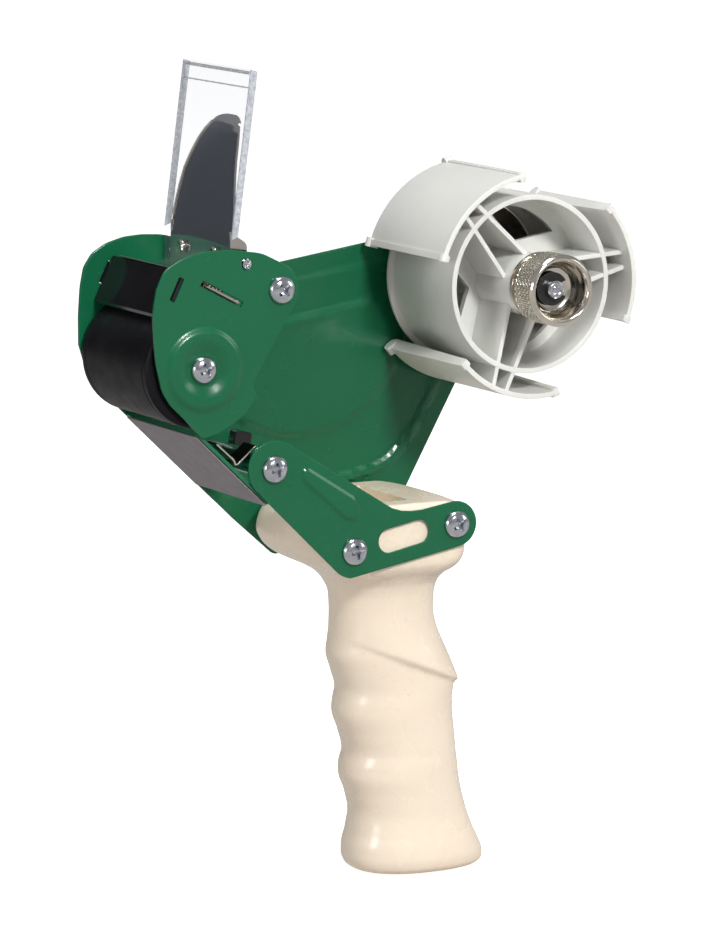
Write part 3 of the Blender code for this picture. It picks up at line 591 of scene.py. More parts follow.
shared_holes = [circle(PIVOT, ROD_HOLE, 24), slot_outline(*SLOT_FRONT, 0.75, 0.15, 0.3),
                slot_outline(*SLOT_BLADE, 0.85, 0.15, 0.3)]
main_holes = [circle(c, FAR_HOLE) for c in (ROLLER, TIE, POST, GRIP_FRONT, GRIP_REAR)]
main_holes += [circle(HUB, AXLE_HOLE)] + shared_holes
plate = panel("plate_main", MAIN_OUTLINE, main_holes, INNER, main_relief)
web_line = [along(WEB_TOP, WEB_END, 5, 0.1), along(WEB_TOP, WEB_END, 41, 0.1)]
combine(plate, [slab("web_form", strip_outline(web_line, -SHEET), -INNER, INNER + 0.5, 0.3)], "UNION")
dress(plate, "green", "frame", "main_frame")

# ---- side cover
COVER_OUTLINE = rounded([
    (-83.5, 219.4, 25), (-92.7, 219.2, 20), (-100.7, 217.2, 12), (-106.6, 213.9, 6), (-109.6, 207.6, 14),
    (-111, 199.6, 30), (-110, 184.1, 30), (-107.8, 174.6, 12), (-104.8, 169.9, 12), (-99.9, 165.2, 25),
    (-93.2, 158.2, 2.2), (-86.7, 160, 8), (-78.6, 164.6, 6), (-73.4, 171, 2), (-74.9, 175, 1.2),
    (-73.3, 178.2, 0), (-57.2, 204.6, 6.5), (-60.6, 212.2, 8), (-71.5, 217.6, 14)])
# (radius, y) of the pressed rings round the roller screw
EMBOSS = ((0, 0.4), (5.5, 0.4), (5.9, 0.32), (6.4, 0.05), (7.4, -0.3), (8.6, -0.8), (9.8, -1.1),
          (12, -1.15), (12.6, -1), (13.6, -0.12), (14.2, 0), (200, 0))


def cover_relief(points):
    radius = np.linalg.norm(points - np.array(ROLLER), axis=1)
    return np.interp(radius, [e[0] for e in EMBOSS], [e[1] for e in EMBOSS])


cover_holes = [circle(ROLLER, NEAR_HOLE), circle(TIE, NEAR_HOLE)] + shared_holes
cover = panel("cover", COVER_OUTLINE, cover_holes, -OUTER, cover_relief, step=0.9)
dress(cover, "green", "frame", "side_cover")

# ---- handle bracket
BRACKET_OUTLINE = (
    arc(GRIP_FRONT, 9, 225, 263, 8) + arc(GRIP_REAR, 7.7, -80, 98, 24)
    + [(-12, 128.9), (-15.9, 128.75), (-19.8, 129.1), (-23.6, 130.3)] + arc(POST, 9.5, 58, 225, 26))
PAD_FORM = rounded([(-57.5, 147.6, 1.6), (-37.2, 134.6, 3.5), (-35, 126.4, 2.5), (-41.2, 128, 3),
                    (-57, 141.8, 2.5)], 5)
PAD_HIGH, DIMPLE, DIMPLE_R, DIMPLE_HIGH = 0.75, (-61.3, 141.6), 0.9, 0.45
SLOT_ENDS, SLOT_HALF = ((-24.6, 119.4), (-13.6, 121.6)), 4


def bracket_relief(points):
    """A raised stiffening form and one small dimple."""
    distance = clearance(points, pairs_of(PAD_FORM, True))
    within = inside(points, PAD_FORM)
    dimple = np.exp(-((np.linalg.norm(points - np.array(DIMPLE), axis=1) / DIMPLE_R) ** 2))
    return -PAD_HIGH * smooth_step(np.where(within, distance, -distance), -0.3, 0.8) - DIMPLE_HIGH * dimple


tilt = math.degrees(math.atan2(SLOT_ENDS[1][1] - SLOT_ENDS[0][1], SLOT_ENDS[1][0] - SLOT_ENDS[0][0]))
slot_round = arc(SLOT_ENDS[1], SLOT_HALF, tilt - 90, tilt + 90)
slot_round += arc(SLOT_ENDS[0], SLOT_HALF, tilt + 90, tilt + 270)
bracket_holes = [circle(c, NEAR_HOLE) for c in (POST, GRIP_FRONT, GRIP_REAR)] + [slot_round]
bracket = panel("bracket", BRACKET_OUTLINE, bracket_holes, -OUTER, bracket_relief, step=0.7)
dress(bracket, "green", "frame", "handle_bracket")

pad_line = [along(WEB_TOP, WEB_END, 5.6, -0.15), along(WEB_TOP, WEB_END, 40.8, -0.15)]
dress(slab("pad", strip_outline(pad_line, 0.4), -25.8, 25.4, 0.12), "grey", "frame", "guard_pad")

# ---- spacers and screws
AXLE_NEAR, BAR_R, SLEEVE_R, THREAD_R = -25.6, 4, 3.4, 2.5
SPACERS = {"roller_axle": (ROLLER, BAR_R, AXLE_NEAR + GAP), "tie_bar": (TIE, BAR_R, -INNER + GAP),
           "bracket_post": (POST, BAR_R, -INNER + GAP),
           "grip_sleeve_front": (GRIP_FRONT, SLEEVE_R, -INNER + GAP),
           "grip_sleeve_rear": (GRIP_REAR, SLEEVE_R, -INNER + GAP)}
for name, (centre, radius, near) in SPACERS.items():
    made = lathe("turned_" + name, [
        (THREAD_R, near), (radius, near), (radius, INNER - GAP), (2.7, INNER - GAP), (2.7, OUTER + GAP),
        (4.6, OUTER + GAP), (4.6, OUTER + 0.8), (3.4, OUTER + 1.5), (1.3, OUTER + 1.5), (0.9, OUTER + 1.1),
        (0, OUTER + 1.1), (0, near + 14), (THREAD_R, near + 13)], centre, 48, True, 0.2)
    dress(made, "zinc", "frame", name)

# place, y of the plate under the head and turn of the cross, in degrees
SCREWS = {"screw_roller": (ROLLER, -26.8, 24), "screw_tie": (TIE, -OUTER, 40),
          "screw_post": (POST, -OUTER, 12), "screw_grip_front": (GRIP_FRONT, -OUTER, 8),
          "screw_grip_rear": (GRIP_REAR, -OUTER, 33)}
HEAD_HIGH = 2.5
# (radius, y from the head's seat) of a screw
PAN = ((0, -HEAD_HIGH), (1.2, -2.48), (2.3, -2.32), (3.3, -1.98), (4.05, -1.4), (4.5, -0.75), (4.6, -0.35),
       (4.5, 0), (2.25, 0), (2.25, 11), (1.6, 12), (0, 12))
CROSS_STEPS = ((-0.7, 2.75, 0.62), (0.75, 2.15, 0.46), (1.75, 1, 0.4))  # (depth, reach, half width)


def recess(centre, top, turn):
    """A tapered cross-shaped cutter for a screw head, with its blunt end inwards."""
    points = []
    for depth, long, wide in CROSS_STEPS:
        for quarter in range(4):
            angle = radians(turn + 90 * quarter)
            out, side = (cos(angle), sin(angle)), (-sin(angle), cos(angle))
            for reach, offset in ((wide * 1.25, -wide * 1.25), (long, -wide), (long, wide)):
                points.append((centre[0] + out[0] * reach + side[0] * offset, top + depth,
                               centre[1] + out[1] * reach + side[1] * offset))
    return raw("recess", points, ring_faces(len(CROSS_STEPS), 12))


for name, (centre, seat, turn) in SCREWS.items():
    under = seat - GAP
    made = lathe("pan_" + name, [(radius, under + y) for radius, y in PAN], centre, 56, False, 0.12)
    combine(made, [recess(centre, under - HEAD_HIGH, turn)], "DIFFERENCE")
    dress(made, "zinc", "frame", name, smooth=28)

# ---- cream grip
# height, front, centre of the front half, centre of the back half, back, half width, power of the oval
GRIP = [
    (2, -19.8, -1.6, -1.6, 18.4, 13.2, 2.3), (2.7, -22.8, -1.6, -1.6, 21.4, 16, 2.3),
    (4.5, -25, -1.7, -1.7, 23.2, 17.9, 2.3), (7.5, -26, -1.9, -1.9, 22.9, 18.5, 2.3),
    (11, -25.9, -2.3, -2.3, 21.4, 18.3, 2.3), (16, -24.6, -3, -3, 19, 17.6, 2.3),
    (22.5, -23.8, -3.8, -3.8, 16.8, 17, 2.2), (29, -25.2, -5, -5, 15, 17, 2.2),
    (36, -27.5, -6.8, -6.8, 13.8, 17.2, 2.2), (39, -27.3, -6.8, -6.8, 13.5, 17.2, 2.2),
    (43.5, -26, -6.7, -6.7, 12.9, 17, 2.2), (50, -27.6, -7.8, -7.8, 12.3, 17, 2.2),
    (57.5, -30, -9.2, -9.2, 11.6, 17.2, 2.2), (60.5, -29.7, -9.1, -9.1, 11.6, 17.2, 2.2),
    (65, -28.8, -8.6, -8.6, 12.2, 17, 2.2), (71, -30.4, -10, -10, 10.6, 17, 2.2),
    (77.5, -32.2, -12, -12, 8.6, 16.8, 2.2), (81, -31.7, -12.3, -12.3, 7.2, 16.6, 2.2),
    (86.5, -30.9, -12.9, -12.9, 5.1, 16.5, 2.2), (92, -30.7, -13.3, -13.3, 4, 16.7, 2.2),
    (97.5, -30.9, -13.4, -13.4, 4.1, 17.4, 2.2), (101.5, -32.6, -14, -13.6, 5, 18.6, 2.2),
    (105, -35.2, -17, -11, 7, 21, 2.3), (107.5, -39, -24, -6, 9.2, 23.8, 2.4),
    (110, -44.5, -31, -3, 10.4, 25.4, 2.4), (112.5, -49.5, -34.5, -1, 11.2, 25.7, 2.3),
    (116, -53.6, -36.5, 0, 11.6, 25.7, 2.2), (120, -55.6, -37, 0.5, 11.4, 25.7, 2.2),
    (124.5, -54, -36.5, 1, 10.6, 25.7, 2.3), (128, -50.6, -35, 0.6, 8.6, 25.6, 2.4),
    (130, -47.2, -33.5, -1, 4.4, 25, 2.5), (130.8, -44.5, -33, -4, 1.4, 23.6, 2.5)]
GRIP_SIDES = 112


def grip_sections(step=0.85):
    """The sections of GRIP, with smooth ones between them."""
    table = np.array(GRIP)
    z = table[:, 0]
    slopes = np.zeros_like(table)
    for i in range(1, len(z) - 1):
        before = (table[i] - table[i - 1]) / (z[i] - z[i - 1])
        after = (table[i + 1] - table[i]) / (z[i + 1] - z[i])
        slopes[i] = np.where(before * after > 0, 2 * before * after / (before + after + 1e-12), 0)
    slopes[0], slopes[-1] = (table[1] - table[0]) / (z[1] - z[0]), (table[-1] - table[-2]) / (z[-1] - z[-2])
    rows = []
    for i in range(len(z) - 1):
        width = z[i + 1] - z[i]
        count = max(1, math.ceil(width / step)) + (2 if width < 1 else 0)
        for k in range(count):
            t = k / count
            row = ((2 * t ** 3 - 3 * t ** 2 + 1) * table[i] + (t ** 3 - 2 * t ** 2 + t) * width * slopes[i]
                   + (3 * t ** 2 - 2 * t ** 3) * table[i + 1] + (t ** 3 - t ** 2) * width * slopes[i + 1])
            row[0] = z[i] + t * width
            rows.append(row)
    return rows + [table[-1]]


def between(value):
    return max(0, min(1, value))


def grip_ring(z, front, front_centre, back_centre, back, half, power):
    """One section of the grip, with the palm rest's ridge and the finger waves."""
    ring = []
    for k in range(GRIP_SIDES):
        turn = 2 * pi * (k + 0.5) / GRIP_SIDES
        c, s = cos(turn), sin(turn)
        reach, centre = (back - back_centre, back_centre) if c > 0 else (front_centre - front, front_centre)
        x = centre + reach * math.copysign(abs(c) ** (2 / power), c)
        y = half * math.copysign(abs(s) ** (2 / power), s)
        # the palm rest swells above a diagonal ridge and steps in just below it
        above = z - (71 - 0.42 * x)
        fade = between((x + 32) / 22) if s < 0 else between((x + 20) / 20)
        swell = 2.1 * math.exp(-((above / (9 if above > 0 else 0.9)) ** 2)) * fade * min(1, z / 20)
        swell *= between((100 - z) / 14)
        # shallow scallops between the fingers run on round the sides
        wave = -0.35 * cos((z - 37 + 1.5) * 2 * pi / 20.6) * max(0, -c - 0.1) * (14 < z < 92)
        length = math.hypot(c, s)
        side = 0.9 if s < 0 else 0.5
        ring.append((x + swell * 0.8 * c / length, y + (swell + wave * 0.8) * s / length * side, z))
    return ring


grip_points = [p for section in grip_sections() for p in grip_ring(*section)]
grip = raw("grip", grip_points, ring_faces(len(grip_points) // GRIP_SIDES, GRIP_SIDES))
pocket = rounded([(-31, 124, 1.5), (-12.5, 124, 1.5), (-11.5, 140, 0), (-32, 140, 0)])
cutters = [lathe("bore", [(0, -30), (3.7, -30), (3.7, 30), (0, 30)], place, 40, False, 0)
           for place in (GRIP_FRONT, GRIP_REAR)]
combine(grip, cutters + [slab("pocket", pocket, -17, 17, 1.2)], "DIFFERENCE")
dress(grip, "cream", "frame", "handle", smooth=40)

# ---- roller
SLEEVE_BORE, SLEEVE_END, GROOVE_R = 15.5, 24.6, ROLLER_R - 0.16
far_half = [(ROLLER_R, 20.9), (GROOVE_R, 21.1), (GROOVE_R, 21.4), (ROLLER_R, 21.6), (ROLLER_R, 23.9),
            (ROLLER_R - 0.8, SLEEVE_END), (SLEEVE_BORE, SLEEVE_END)]
near_half = [(radius, -y) for radius, y in far_half[::-1]]
sleeve = lathe("rubber_sleeve", near_half + far_half, ROLLER, 128, True, 0.25)
dress(sleeve, "rubber", "roller", "roller_sleeve")
CORE_BOSS, CORE_RIM, SPOKES = 7, 13, 6
core = lathe("sleeve_core", [
    (4.15, -25.1), (CORE_BOSS, -25.1), (CORE_BOSS, -3), (CORE_RIM, -3), (CORE_RIM, -24), (15.3, -24),
    (15.3, 24), (CORE_RIM, 24), (CORE_RIM, 3), (CORE_BOSS, 3), (CORE_BOSS, 25.4), (4.15, 25.4)],
    ROLLER, 72, True, 0.2)
spokes = []
for k in range(SPOKES):
    ends = [around(ROLLER, reach, 2 * pi * k / SPOKES) for reach in (CORE_BOSS - 0.5, CORE_RIM + 0.5)]
    spokes.append(slab("spoke", slot_outline(*ends, 0.6), -23, 23, 0.15))
dress(combine(core, spokes, "UNION"), "core", "roller", "roller_core")

# ---- cross plate, blade, spring strip
CROSS_TOP, CROSS_LOW = (-100, 213), (-107.3, 198.2)
cross_line = [along(CROSS_LOW, CROSS_TOP, 0.6, -3), along(CROSS_LOW, CROSS_TOP, 0.1, -1),
              along(CROSS_LOW, CROSS_TOP, 0.9, -0.1), CROSS_TOP]
cross = slab("cross_bar", strip_outline(cross_line, 1.2), -25.7, 25.7, 0.2)
TAB_ROOT = INNER - 1.2
tab_form = slot_outline(*[along(*SLOT_FRONT, t) for t in (0, 7.6)], 0.5)
combine(cross, slab_pair("tab", tab_form, TAB_ROOT, OUTER + 0.25, 0.12), "UNION")
dress(cross, "gloss", "frame", "cross_plate")

END_TEETH, END_PITCH = 19, 0.65
holder_line = [along(*SLOT_BLADE, 1.4, -0.5), along(*SLOT_BLADE, 15.4, -0.5)]
holder = slab("holder", strip_outline(holder_line, -1.1), -25.7, 25.7, 0.15)
tab_form = slot_outline(along(*SLOT_BLADE, 4.2, 0.05), along(*SLOT_BLADE, 15, 0.05), 0.3)
teeth = [along(*SLOT_BLADE, 1.6, 0)]
teeth += [along(*SLOT_BLADE, 2 + END_PITCH * k, 0.55 if k % 2 else 0.05) for k in range(END_TEETH)]
teeth += [along(*SLOT_BLADE, 14.6, 0), along(*SLOT_BLADE, 14.6, -0.35), along(*SLOT_BLADE, 1.6, -0.35)]
tabs = slab_pair("tab", tab_form, TAB_ROOT, OUTER + 0.3, 0.1)
tabs += [slab("teeth", teeth, -OUTER - 0.3, -TAB_ROOT, 0.05),
         slab("teeth", teeth, TAB_ROOT, OUTER + 0.2, 0.05)]
dress(combine(holder, tabs, "UNION"), "steel", "frame", "blade_holder")

TEETH, TOOTH, BLADE_HALF, BLADE_LOW, BLADE_HIGH = 19, 1.6, 25, 0.75, 1.45
blade_points = []
for step in range(2 * TEETH + 1):
    y = -BLADE_HALF + step * BLADE_HALF / TEETH
    tip = -5.2 - (TOOTH if step % 2 else 0)
    section = ((tip, BLADE_HIGH - 0.12), (tip, BLADE_HIGH), (9, BLADE_HIGH), (9, BLADE_LOW),
               (-3.2, BLADE_LOW))
    for distance, side in section:
        x, z = along(*SLOT_BLADE, distance, side)
        blade_points.append((x, y, z))
dress(raw("cutting_edge", blade_points, ring_faces(2 * TEETH + 1, 5)), "steel", "frame", "blade")

spring_line = [(-87.6, 155.8), (-81.2, 149.9), (-80.9, 148.4), (-79.6, 148.6), (-73, 154.2)]
spring_form = strip_outline(fillet(spring_line, 0.5, False), -0.6)
dress(slab("vee_spring", spring_form, -25.4, -17, 0.12), "nickel", "frame", "spring_strip")
block_form = rounded([(-58.2, 145.6, 1), (-52, 144.6, 1), (-50.8, 151, 1), (-57, 152.2, 1)])
dress(slab("stop_block", block_form, 21, INNER - 0.2, 0.3), "gloss", "frame", "spring_anchor")

# ---- hub
def polar(radius, degrees, y):
    """The 3-D point at this radius and turn round the hub axis."""
    x, z = around(HUB, radius, radians(degrees))
    return (x, y, z)


def swept(name, section, start, end, steps):
    """A closed (radius, y) section swept round the hub axis, from start to end in degrees."""
    points = []
    for k in range(steps + 1):
        turn = start + (end - start) * k / steps
        points += [polar(r, turn, y) for r, y in section]
    return raw(name, points, ring_faces(steps + 1, len(section)))


def oval(radius, y, half_radius, half_y, steps=20):
    """An oval (radius, y) section."""
    turns = [2 * pi * k / steps for k in range(steps)]
    return [(radius + half_radius * cos(t), y + half_y * sin(t)) for t in turns]


hub = lathe("hub_moulding", [
    (BORE_R, -15), (8.7, -15), (8.7, -28.2), (BOSS_R, -28.2), (BOSS_R, WEB_FRONT), (DRUM_BORE, WEB_FRONT),
    (DRUM_BORE, -24), (DRUM_R, -24), (DRUM_R, -3.6), (DRUM_R - 0.3, -3.3), (DRUM_R - 0.3, 17.3),
    (31.7, 17.3), (31.7, 18.8), (LIP_R, 18.8), (LIP_R, LIP_FRONT), (DRUM_BORE, LIP_FRONT),
    (DRUM_BORE, WEB_BACK), (BOSS_R, WEB_BACK), (BOSS_R, 22), (BORE_R, 22)], HUB, 144, True, 0.3)
RIB_START, RIB_END, RIB_HALF = (8.6, 5.4), (36.9, 2.5), 0.75  # (out from the axis, to the side)
PETAL_WALL = 1.8
petal_section = fillet([
    (CORE_R - PETAL_WALL, PETAL_FRONT), (CORE_R, PETAL_FRONT), (CORE_R, PETAL_BACK),
    (CORE_R - PETAL_WALL, PETAL_BACK)], 0.35)
bead_section = fillet([
    (CORE_R - 2.6, PETAL_FRONT - 0.3), (CORE_R + 0.4, PETAL_FRONT - 0.25), (CORE_R + 0.55, PETAL_BACK - 6),
    (CORE_R + 0.5, PETAL_BACK + 0.3), (CORE_R - 3.9, PETAL_BACK + 0.3)], 0.6)
# what thickens each long edge of a petal: section and half width in degrees
EDGE_FORMS = {"bead": (bead_section, 1.5), "nub": (oval(CORE_R - 0.85, PETAL_BACK - 0.3, 2.35, 1.95), 2.3),
              "lip": (oval(CORE_R - 1, PETAL_FRONT + 1.1, 1.6, 1.4), 1.9)}
additions = []
for middle, half_arc in PETALS:
    turn = radians(middle)
    out = Vector((cos(turn), sin(turn)))
    across = Vector((-out.y, out.x))
    for side in (-1, 1):
        ends = [tuple(Vector(HUB) + out * away + across * side * aside)
                for away, aside in (RIB_START, RIB_END)]
        additions.append(slab("rib", slot_outline(*ends, RIB_HALF), -23.75, 16.8, 0.22))
    additions.append(swept("petal", petal_section, middle - half_arc, middle + half_arc, 36))
    for side in (-1, 1):
        edge = middle + side * half_arc
        additions += [swept(name, section, edge - half, edge + half, 4)
                      for name, (section, half) in EDGE_FORMS.items()]
combine(hub, additions, "UNION")

WINDOW_R, WINDOW_SIDE = 24.6, 11.2  # the outer arc, and the straight sides' distance from the ribs' middle
windows = []
for index, (middle, _) in enumerate(PETALS):
    gap = (PETALS[(index + 1) % len(PETALS)][0] - middle) % 360
    swing = math.degrees(math.asin(WINDOW_SIDE / WINDOW_R))
    corner = polar(WINDOW_SIDE / sin(radians(gap / 2)), middle + gap / 2, 0)
    outline = [(corner[0], corner[2])] + arc(HUB, WINDOW_R, middle + swing, middle + gap - swing, 20)
    windows.append(slab("window", outline, WEB_FRONT - 1, WEB_BACK + 1, 0.05))
combine(hub, windows, "DIFFERENCE")
dress(hub, "hub", "core_hub", "hub", smooth=35)

# ---- axle, brake and knob
AXLE_R, THREAD, NUT_BACK, NUT_R = 5, 3, 32, 8.6
axle = lathe("axle", [
    (0, -41.4), (1.1, -41.4), (1.4, -41.1), (1.8, -41.4), (2.5, -41.4), (THREAD, -40.9), (THREAD, -38.8),
    (2.4, -38.8), (2.4, -37.5), (THREAD, -37.5), (THREAD, -29.6), (AXLE_R, -29), (AXLE_R, 23.9),
    (13, 23.9), (13, INNER - GAP), (4.9, INNER - GAP), (4.9, 33.4), (4.4, 33.9), (0, 33.9)],
    HUB, 64, False, 0.15)
dress(axle, "zinc", "frame", "hub_axle")


def washer(name, inner, outer, y0, y1, segments, soft):
    """A flat ring round the hub axis."""
    return lathe(name, [(inner, y0), (outer, y0), (outer, y1), (inner, y1)], HUB, segments, True, soft)


nut = washer("lock_nut", 5.05, 9.9, OUTER + GAP, NUT_BACK, 96, 0)
hexagon = [around(HUB, NUT_R, pi * k / 3) for k in range(6)]
combine(nut, [slab("hex", hexagon, OUTER + GAP, NUT_BACK, 0.5)], "INTERSECT")
dress(nut, "zinc", "frame", "axle_nut")
dress(washer("fibre_washer", 5.3, 15, 22.2, 23.7, 72, 0.2), "fibre", "frame", "brake_washer")
dress(washer("brake_plate", 10.9, 24.9, 17.1, 18.3, 128, 0.3), "dark_steel", "core_hub", "brake_disc")

# the mould's ejector mark on the web
MARK_R, MARK_FRONT, MARK_BACK = 1.75, WEB_FRONT - 0.12, WEB_FRONT + 0.3
mark = lathe("pin_mark", [(0, MARK_FRONT), (MARK_R, MARK_FRONT), (MARK_R, MARK_BACK), (0, MARK_BACK)],
             polar(25.4, 32, 0)[::2], 32, False, 0.08)
dress(mark, "hub", "core_hub")

dress(washer("steel_washer", 5.3, 8.4, -16.6, -15.2, 56, 0.2), "steel", "frame", "friction_washer")
thrust = washer("thrust_washer", 5.3, 11.6, -31.2, -29.7, 96, 0.35)
dress(thrust, "nickel", "brake_carrier", "pressure_washer")

COIL_R, COIL_START, COIL_LONG, COIL_TURNS, COIL_STEPS = 7, -28.9, 11.5, 5, 28
coil = []
for k in range(COIL_TURNS * COIL_STEPS + 1):
    x, z = around(HUB, COIL_R, 2 * pi * k / COIL_STEPS)
    coil.append((x, COIL_START + COIL_LONG * k / (COIL_TURNS * COIL_STEPS), z))
dress(tube("coil_spring", coil, 0.55), "wire", "frame", "tension_spring")

KNOB_R, KNURL_BACK, KNURL_FRONT = 12, -33.9, -43.8
KNURL_ROUND, KNURL_ROWS, KNURL_LINES = 588, 60, 42
KNURL_DEEP, KNURL_TWIST, KNURL_NARROW = 0.5, 0.85, 2.2


def knurled_knob():
    """A turned knob whose band carries crossed helical grooves that leave raised diamonds."""
    behind = [(3.25, -36.7), (3.25, -31.5), (10.4, -31.5), (10.9, -31.9), (10.9, -33.1), (11.6, -33.4)]
    ahead = [(11.7, -44), (11.2, -44.8), (10.6, -45), (10, -44.7), (9.4, -43.2), (9.1, -40.6),
             (8.6, -38.8), (7.6, -37.2), (6.6, -36.75), (3.25, -36.7)]
    band = [(KNOB_R, KNURL_BACK + (KNURL_FRONT - KNURL_BACK) * k / KNURL_ROWS) for k in range(KNURL_ROWS + 1)]
    profile = fillet(behind, 0.2, False) + band + fillet(ahead, 0.35, False)[:-1]
    pitch = 2 * pi / KNURL_LINES
    points = []
    for radius, y in profile:
        lean = (y - KNURL_BACK) / KNOB_R * KNURL_TWIST
        for k in range(KNURL_ROUND):
            turn = 2 * pi * k / KNURL_ROUND
            deep = 0
            if radius == KNOB_R and KNURL_FRONT < y < KNURL_BACK:
                ups = [abs(((turn + way * lean) / pitch) % 1 - 0.5) * 2 for way in (-1, 1)]
                deep = KNURL_DEEP * (1 - min(1, min(1 - u for u in ups) * KNURL_NARROW))
            x, z = around(HUB, radius - deep, turn)
            points.append((x, y, z))
    return raw("knob", points, ring_faces(len(profile), KNURL_ROUND, True))


dress(knurled_knob(), "nickel", "knob", "tension_knob", smooth=38)
clip_outline = arc(HUB, 2.6, 35, 325, 40)[::-1] + arc(HUB, 5.6, 28, 332, 48)
dress(slab("c_clip", clip_outline, -38.6, -37.7, 0.12), "oxide", "frame", "retaining_clip")

# ---- shield
rod = lathe("pivot_rod", [
    (0, -OUTER + 0.5), (0.75, -OUTER + 0.4), (1.05, -OUTER - 0.3), (1.6, -OUTER - 0.25), (1.6, OUTER + 0.3),
    (0, OUTER + 0.3)], PIVOT, 40, False, 0.18)
dress(rod, "zinc", "frame", "shield_rod")
EAR, FACE_X, TONGUE_SHEET = 22, -80.7, 0.8
# height, distance back from FACE_X and half width
TONGUE = [(210, 0, EAR), (216, 0, EAR), (221, 0.3, EAR), (226, 1, 21.8), (231, 1.8, 21),
          (236.5, 2.6, 19.7), (242, 3.6, 18.2), (247, 5, 16.2), (251.5, 6.6, 14.2), (255, 8.1, 12),
          (257.8, 9.6, 9.4), (259.5, 10.7, 6.6), (260.4, 11.3, 3)]
TIP_START, TIP_HALF, TIP_HIGH = 257.8, 9.4, 2.75


def tongue_mesh():
    """The steel tongue: a thin sheet that curves back towards its rounded tip and bows out in the middle."""
    heights = np.array([t[0] for t in TONGUE])
    rows = list(np.linspace(210, 252, 40))
    rows += list(252 + 8.4 * (1 - (1 - np.linspace(0.04, 1, 22)) ** 1.7))
    across = 16
    points = []
    for z in rows:
        lean = np.interp(z, heights, [t[1] for t in TONGUE])
        ahead = np.interp(z + 1, heights, [t[1] for t in TONGUE])
        half = np.interp(z, heights, [t[2] for t in TONGUE])
        if z >= TIP_START:
            half = max(2, TIP_HALF * math.sqrt(max(0, 1 - ((z - TIP_START) / TIP_HIGH) ** 2)))
        slope = Vector((ahead - lean, 1)).normalized()
        for k in range(across + 1):
            y = -half + 2 * half * k / across
            bow = 0.5 * (1 - (y / max(half, 1e-6)) ** 2) * smooth_step(z, 222, 235)
            points.append((FACE_X + lean - bow * 0.4, y, z))
        for k in range(across + 1):
            y = half - 2 * half * k / across
            points.append((FACE_X + lean + slope.y * TONGUE_SHEET, y, z - slope.x * TONGUE_SHEET))
    return raw("tongue", points, ring_faces(len(rows), 2 * (across + 1)))


tongue = tongue_mesh()
ear_form = rounded([(FACE_X + 0.2, 210.2, 0), (-74.4, 210.2, 2.6), (-74.4, 220.4, 2.6),
                    (FACE_X + 0.2, 224.5, 0)])
combine(tongue, slab_pair("ear", ear_form, EAR - TONGUE_SHEET, EAR, 0.15), "UNION")
rod_bore = lathe("bore", [(0, -24), (1.75, -24), (1.75, 24), (0, 24)], PIVOT, 32, False, 0)
combine(tongue, [rod_bore], "DIFFERENCE")
dress(tongue, "steel", "shield", "shield_tongue", smooth=40)

FILM_BEND, FILM_LONG, FILM_HALF = 221, 56, 24.8
film_x = FACE_X - 0.25 + math.tan(LEAN) * FILM_LONG
FILM_SIDE = [(FACE_X - 0.75, 208.6), (FACE_X - 0.25, 208.6), (FACE_X - 0.25, FILM_BEND),
             (film_x - 0.6, 276.6), (film_x - 0.85, 277), (film_x - 1.1, 276.6), (FACE_X - 0.75, FILM_BEND)]
film = slab("film", FILM_SIDE, -FILM_HALF, FILM_HALF, 0.08)
dress(film, "film", "shield", "shield_film", smooth=25)
fold_form = [(FACE_X - 0.8, 222), (FACE_X + 1.6, 223), (film_x + 1.25, 276.2), (film_x - 1.1, 276.9)]
folds = slab_pair("fold", fold_form, 24.2, 24.85, 0.08)
for height, deep in ((270.9, 0.3), (275.3, 1)):
    share = (height - FILM_BEND) / FILM_LONG
    x = FACE_X - 0.75 + share * (film_x - 1.1 - FACE_X + 0.75)
    hem = [(x - 0.2, height), (x + 0.8, height + 0.05), (x + 0.85, height + deep), (x - 0.12, height + deep)]
    folds.append(slab("hem", hem, -24.3, 24.3, 0.05))
edges = folds.pop()
dress(combine(edges, folds, "UNION"), "film_edge", "shield", "shield_film", smooth=25)
rim = [(FACE_X + lean - 0.12, half - 0.15, z) for z, lean, half in TONGUE[3:-2]]
dress(tube("tongue_rim", rim, 0.36), "nickel", "shield", "shield_tongue")

RIVET_Y, RIVET_Z = 12, 216.5
# (radius, distance back from FACE_X)
RIVET = ((0, -1.9), (0.9, -1.85), (1.6, -1.68), (2.1, -1.3), (2.3, -0.95), (1.15, -0.9), (1.15, 1),
         (2, 1.05), (1.4, 1.5), (0, 1.55))
for name, side in (("near", -1), ("far", 1)):
    profile = [(radius, FACE_X + behind) for radius, behind in RIVET]
    rivet = lathe("rivet_" + name, profile, (side * RIVET_Y, RIVET_Z), 36, False, 0.15, True)
    dress(rivet, "nickel", "shield", "shield_rivet_" + name)

LOOP_R, LOOP_TURNS, LOOP_STEPS, LOOP_START, LOOP_LONG = 2.15, 4.25, 30, 15.6, 4.6
for name, side in (("near", -1), ("far", 1)):
    count = int(LOOP_TURNS * LOOP_STEPS)
    path = [(FACE_X + 1.6, side * LOOP_START, 222), (FACE_X + 1.3, side * LOOP_START, 218)]
    for k in range(count + 1):
        x, z = around(PIVOT, LOOP_R, pi + 2 * pi * k / LOOP_STEPS)
        path.append((x, side * (LOOP_START + LOOP_LONG * k / count), z))
    end = side * (LOOP_START + LOOP_LONG)
    path += [(-73, end, 212), (-70, end, 211.4), (-62.8, end, 210)]
    dress(tube("torsion_" + name, path, 0.35), "wire", "shield", "torsion_spring_" + name)

# ---- floor, light and camera
FLOOR_EDGE = [(-14, -10, 0), (14, -10, 0), (14, 14, 0), (-14, 14, 0)]
CARD_EDGE = [(-1.3, 0.75, 0.09), (0.25, 1.75, 0.09), (0.25, 1.75, 0.75), (-1.3, 0.75, 0.75)]
TARGET = Vector((-0.0222, 0, 0.1355))


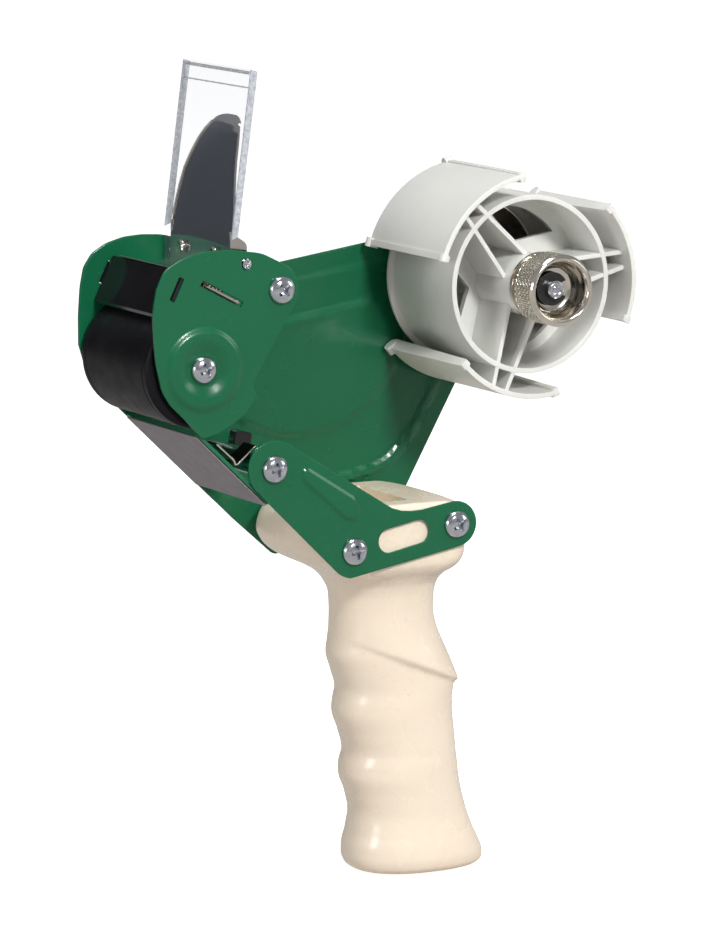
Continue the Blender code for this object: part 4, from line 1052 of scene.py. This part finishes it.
def sheet(name, corners, finish):
    """A flat piece of the studio, in metres."""
    mesh = bpy.data.meshes.new(name)
    mesh.from_pydata(corners, [], [[0, 1, 2, 3]])
    mesh.materials.append(finish)
    return placed(name, mesh)


# the floor that the camera sees throws no light; a hidden warm one just below it does
floor = sheet("ground", FLOOR_EDGE, principled(
    "pale_floor", Base_Color=(0.93, 0.93, 0.93, 1), Roughness=0.85, Specular_IOR_Level=0.1,
    Emission_Color=(1, 1, 1, 1), Emission_Strength=0.72))
floor.visible_diffuse = False
floor.visible_glossy = False

bounce = sheet("bounce", FLOOR_EDGE, principled(
    "bounce_grey", Emission_Color=(1, 0.93, 0.87, 1), Emission_Strength=0.26))
bounce.location.z = -0.002
bounce.visible_camera = False

# a dark card behind the left side that only mirrors can see, so that bare metal has something dark to show
card = sheet("card", CARD_EDGE, principled("dark_card", Base_Color=(0.012, 0.012, 0.013, 1), Roughness=0.9))
for sight in ("camera", "diffuse", "transmission", "shadow", "volume_scatter"):
    setattr(card, "visible_" + sight, False)


def direction(azimuth, elevation):
    """The way from the object towards a viewer, in degrees: azimuth 0 is the open side, and 90 is +X."""
    a, e = radians(azimuth), radians(elevation)
    return Vector((sin(a) * cos(e), -cos(a) * cos(e), sin(e)))


def aim(obj, way, distance):
    """Puts a lamp or the camera this way and distance from the object, facing it."""
    obj.location = TARGET + way * distance
    obj.rotation_mode = "QUATERNION"
    obj.rotation_quaternion = (-way).to_track_quat("-Z", "Y")


# azimuth, elevation, distance, size and power of each square soft light
LAMPS = {"key": (-2, 33, 1.9, 0.3, 27), "fill": (-72, 10, 2.2, 0.6, 10), "side": (62, 20, 2.2, 0.8, 7),
         "top": (-20, 80, 1.7, 0.6, 11)}
for name, (azimuth, elevation, distance, size, power) in LAMPS.items():
    light = bpy.data.lights.new(name, "AREA")
    light.shape = "SQUARE"
    light.size = size
    light.energy = power
    aim(placed(name, light), direction(azimuth, elevation), distance)

world = bpy.data.worlds.new("studio")
world.use_nodes = True
world.node_tree.nodes["Background"].inputs["Color"].default_value = (1, 1, 1, 1)
world.node_tree.nodes["Background"].inputs["Strength"].default_value = 0.3
bpy.context.scene.world = world
bpy.context.scene.view_settings.view_transform = "Standard"

camera_data = bpy.data.cameras.new("camera")
camera_data.lens = 204.6
camera_data.sensor_width = 36
camera_data.clip_end = 60
camera = placed("camera", camera_data)
aim(camera, direction(-28, 9), 1.806)
bpy.context.scene.camera = camera
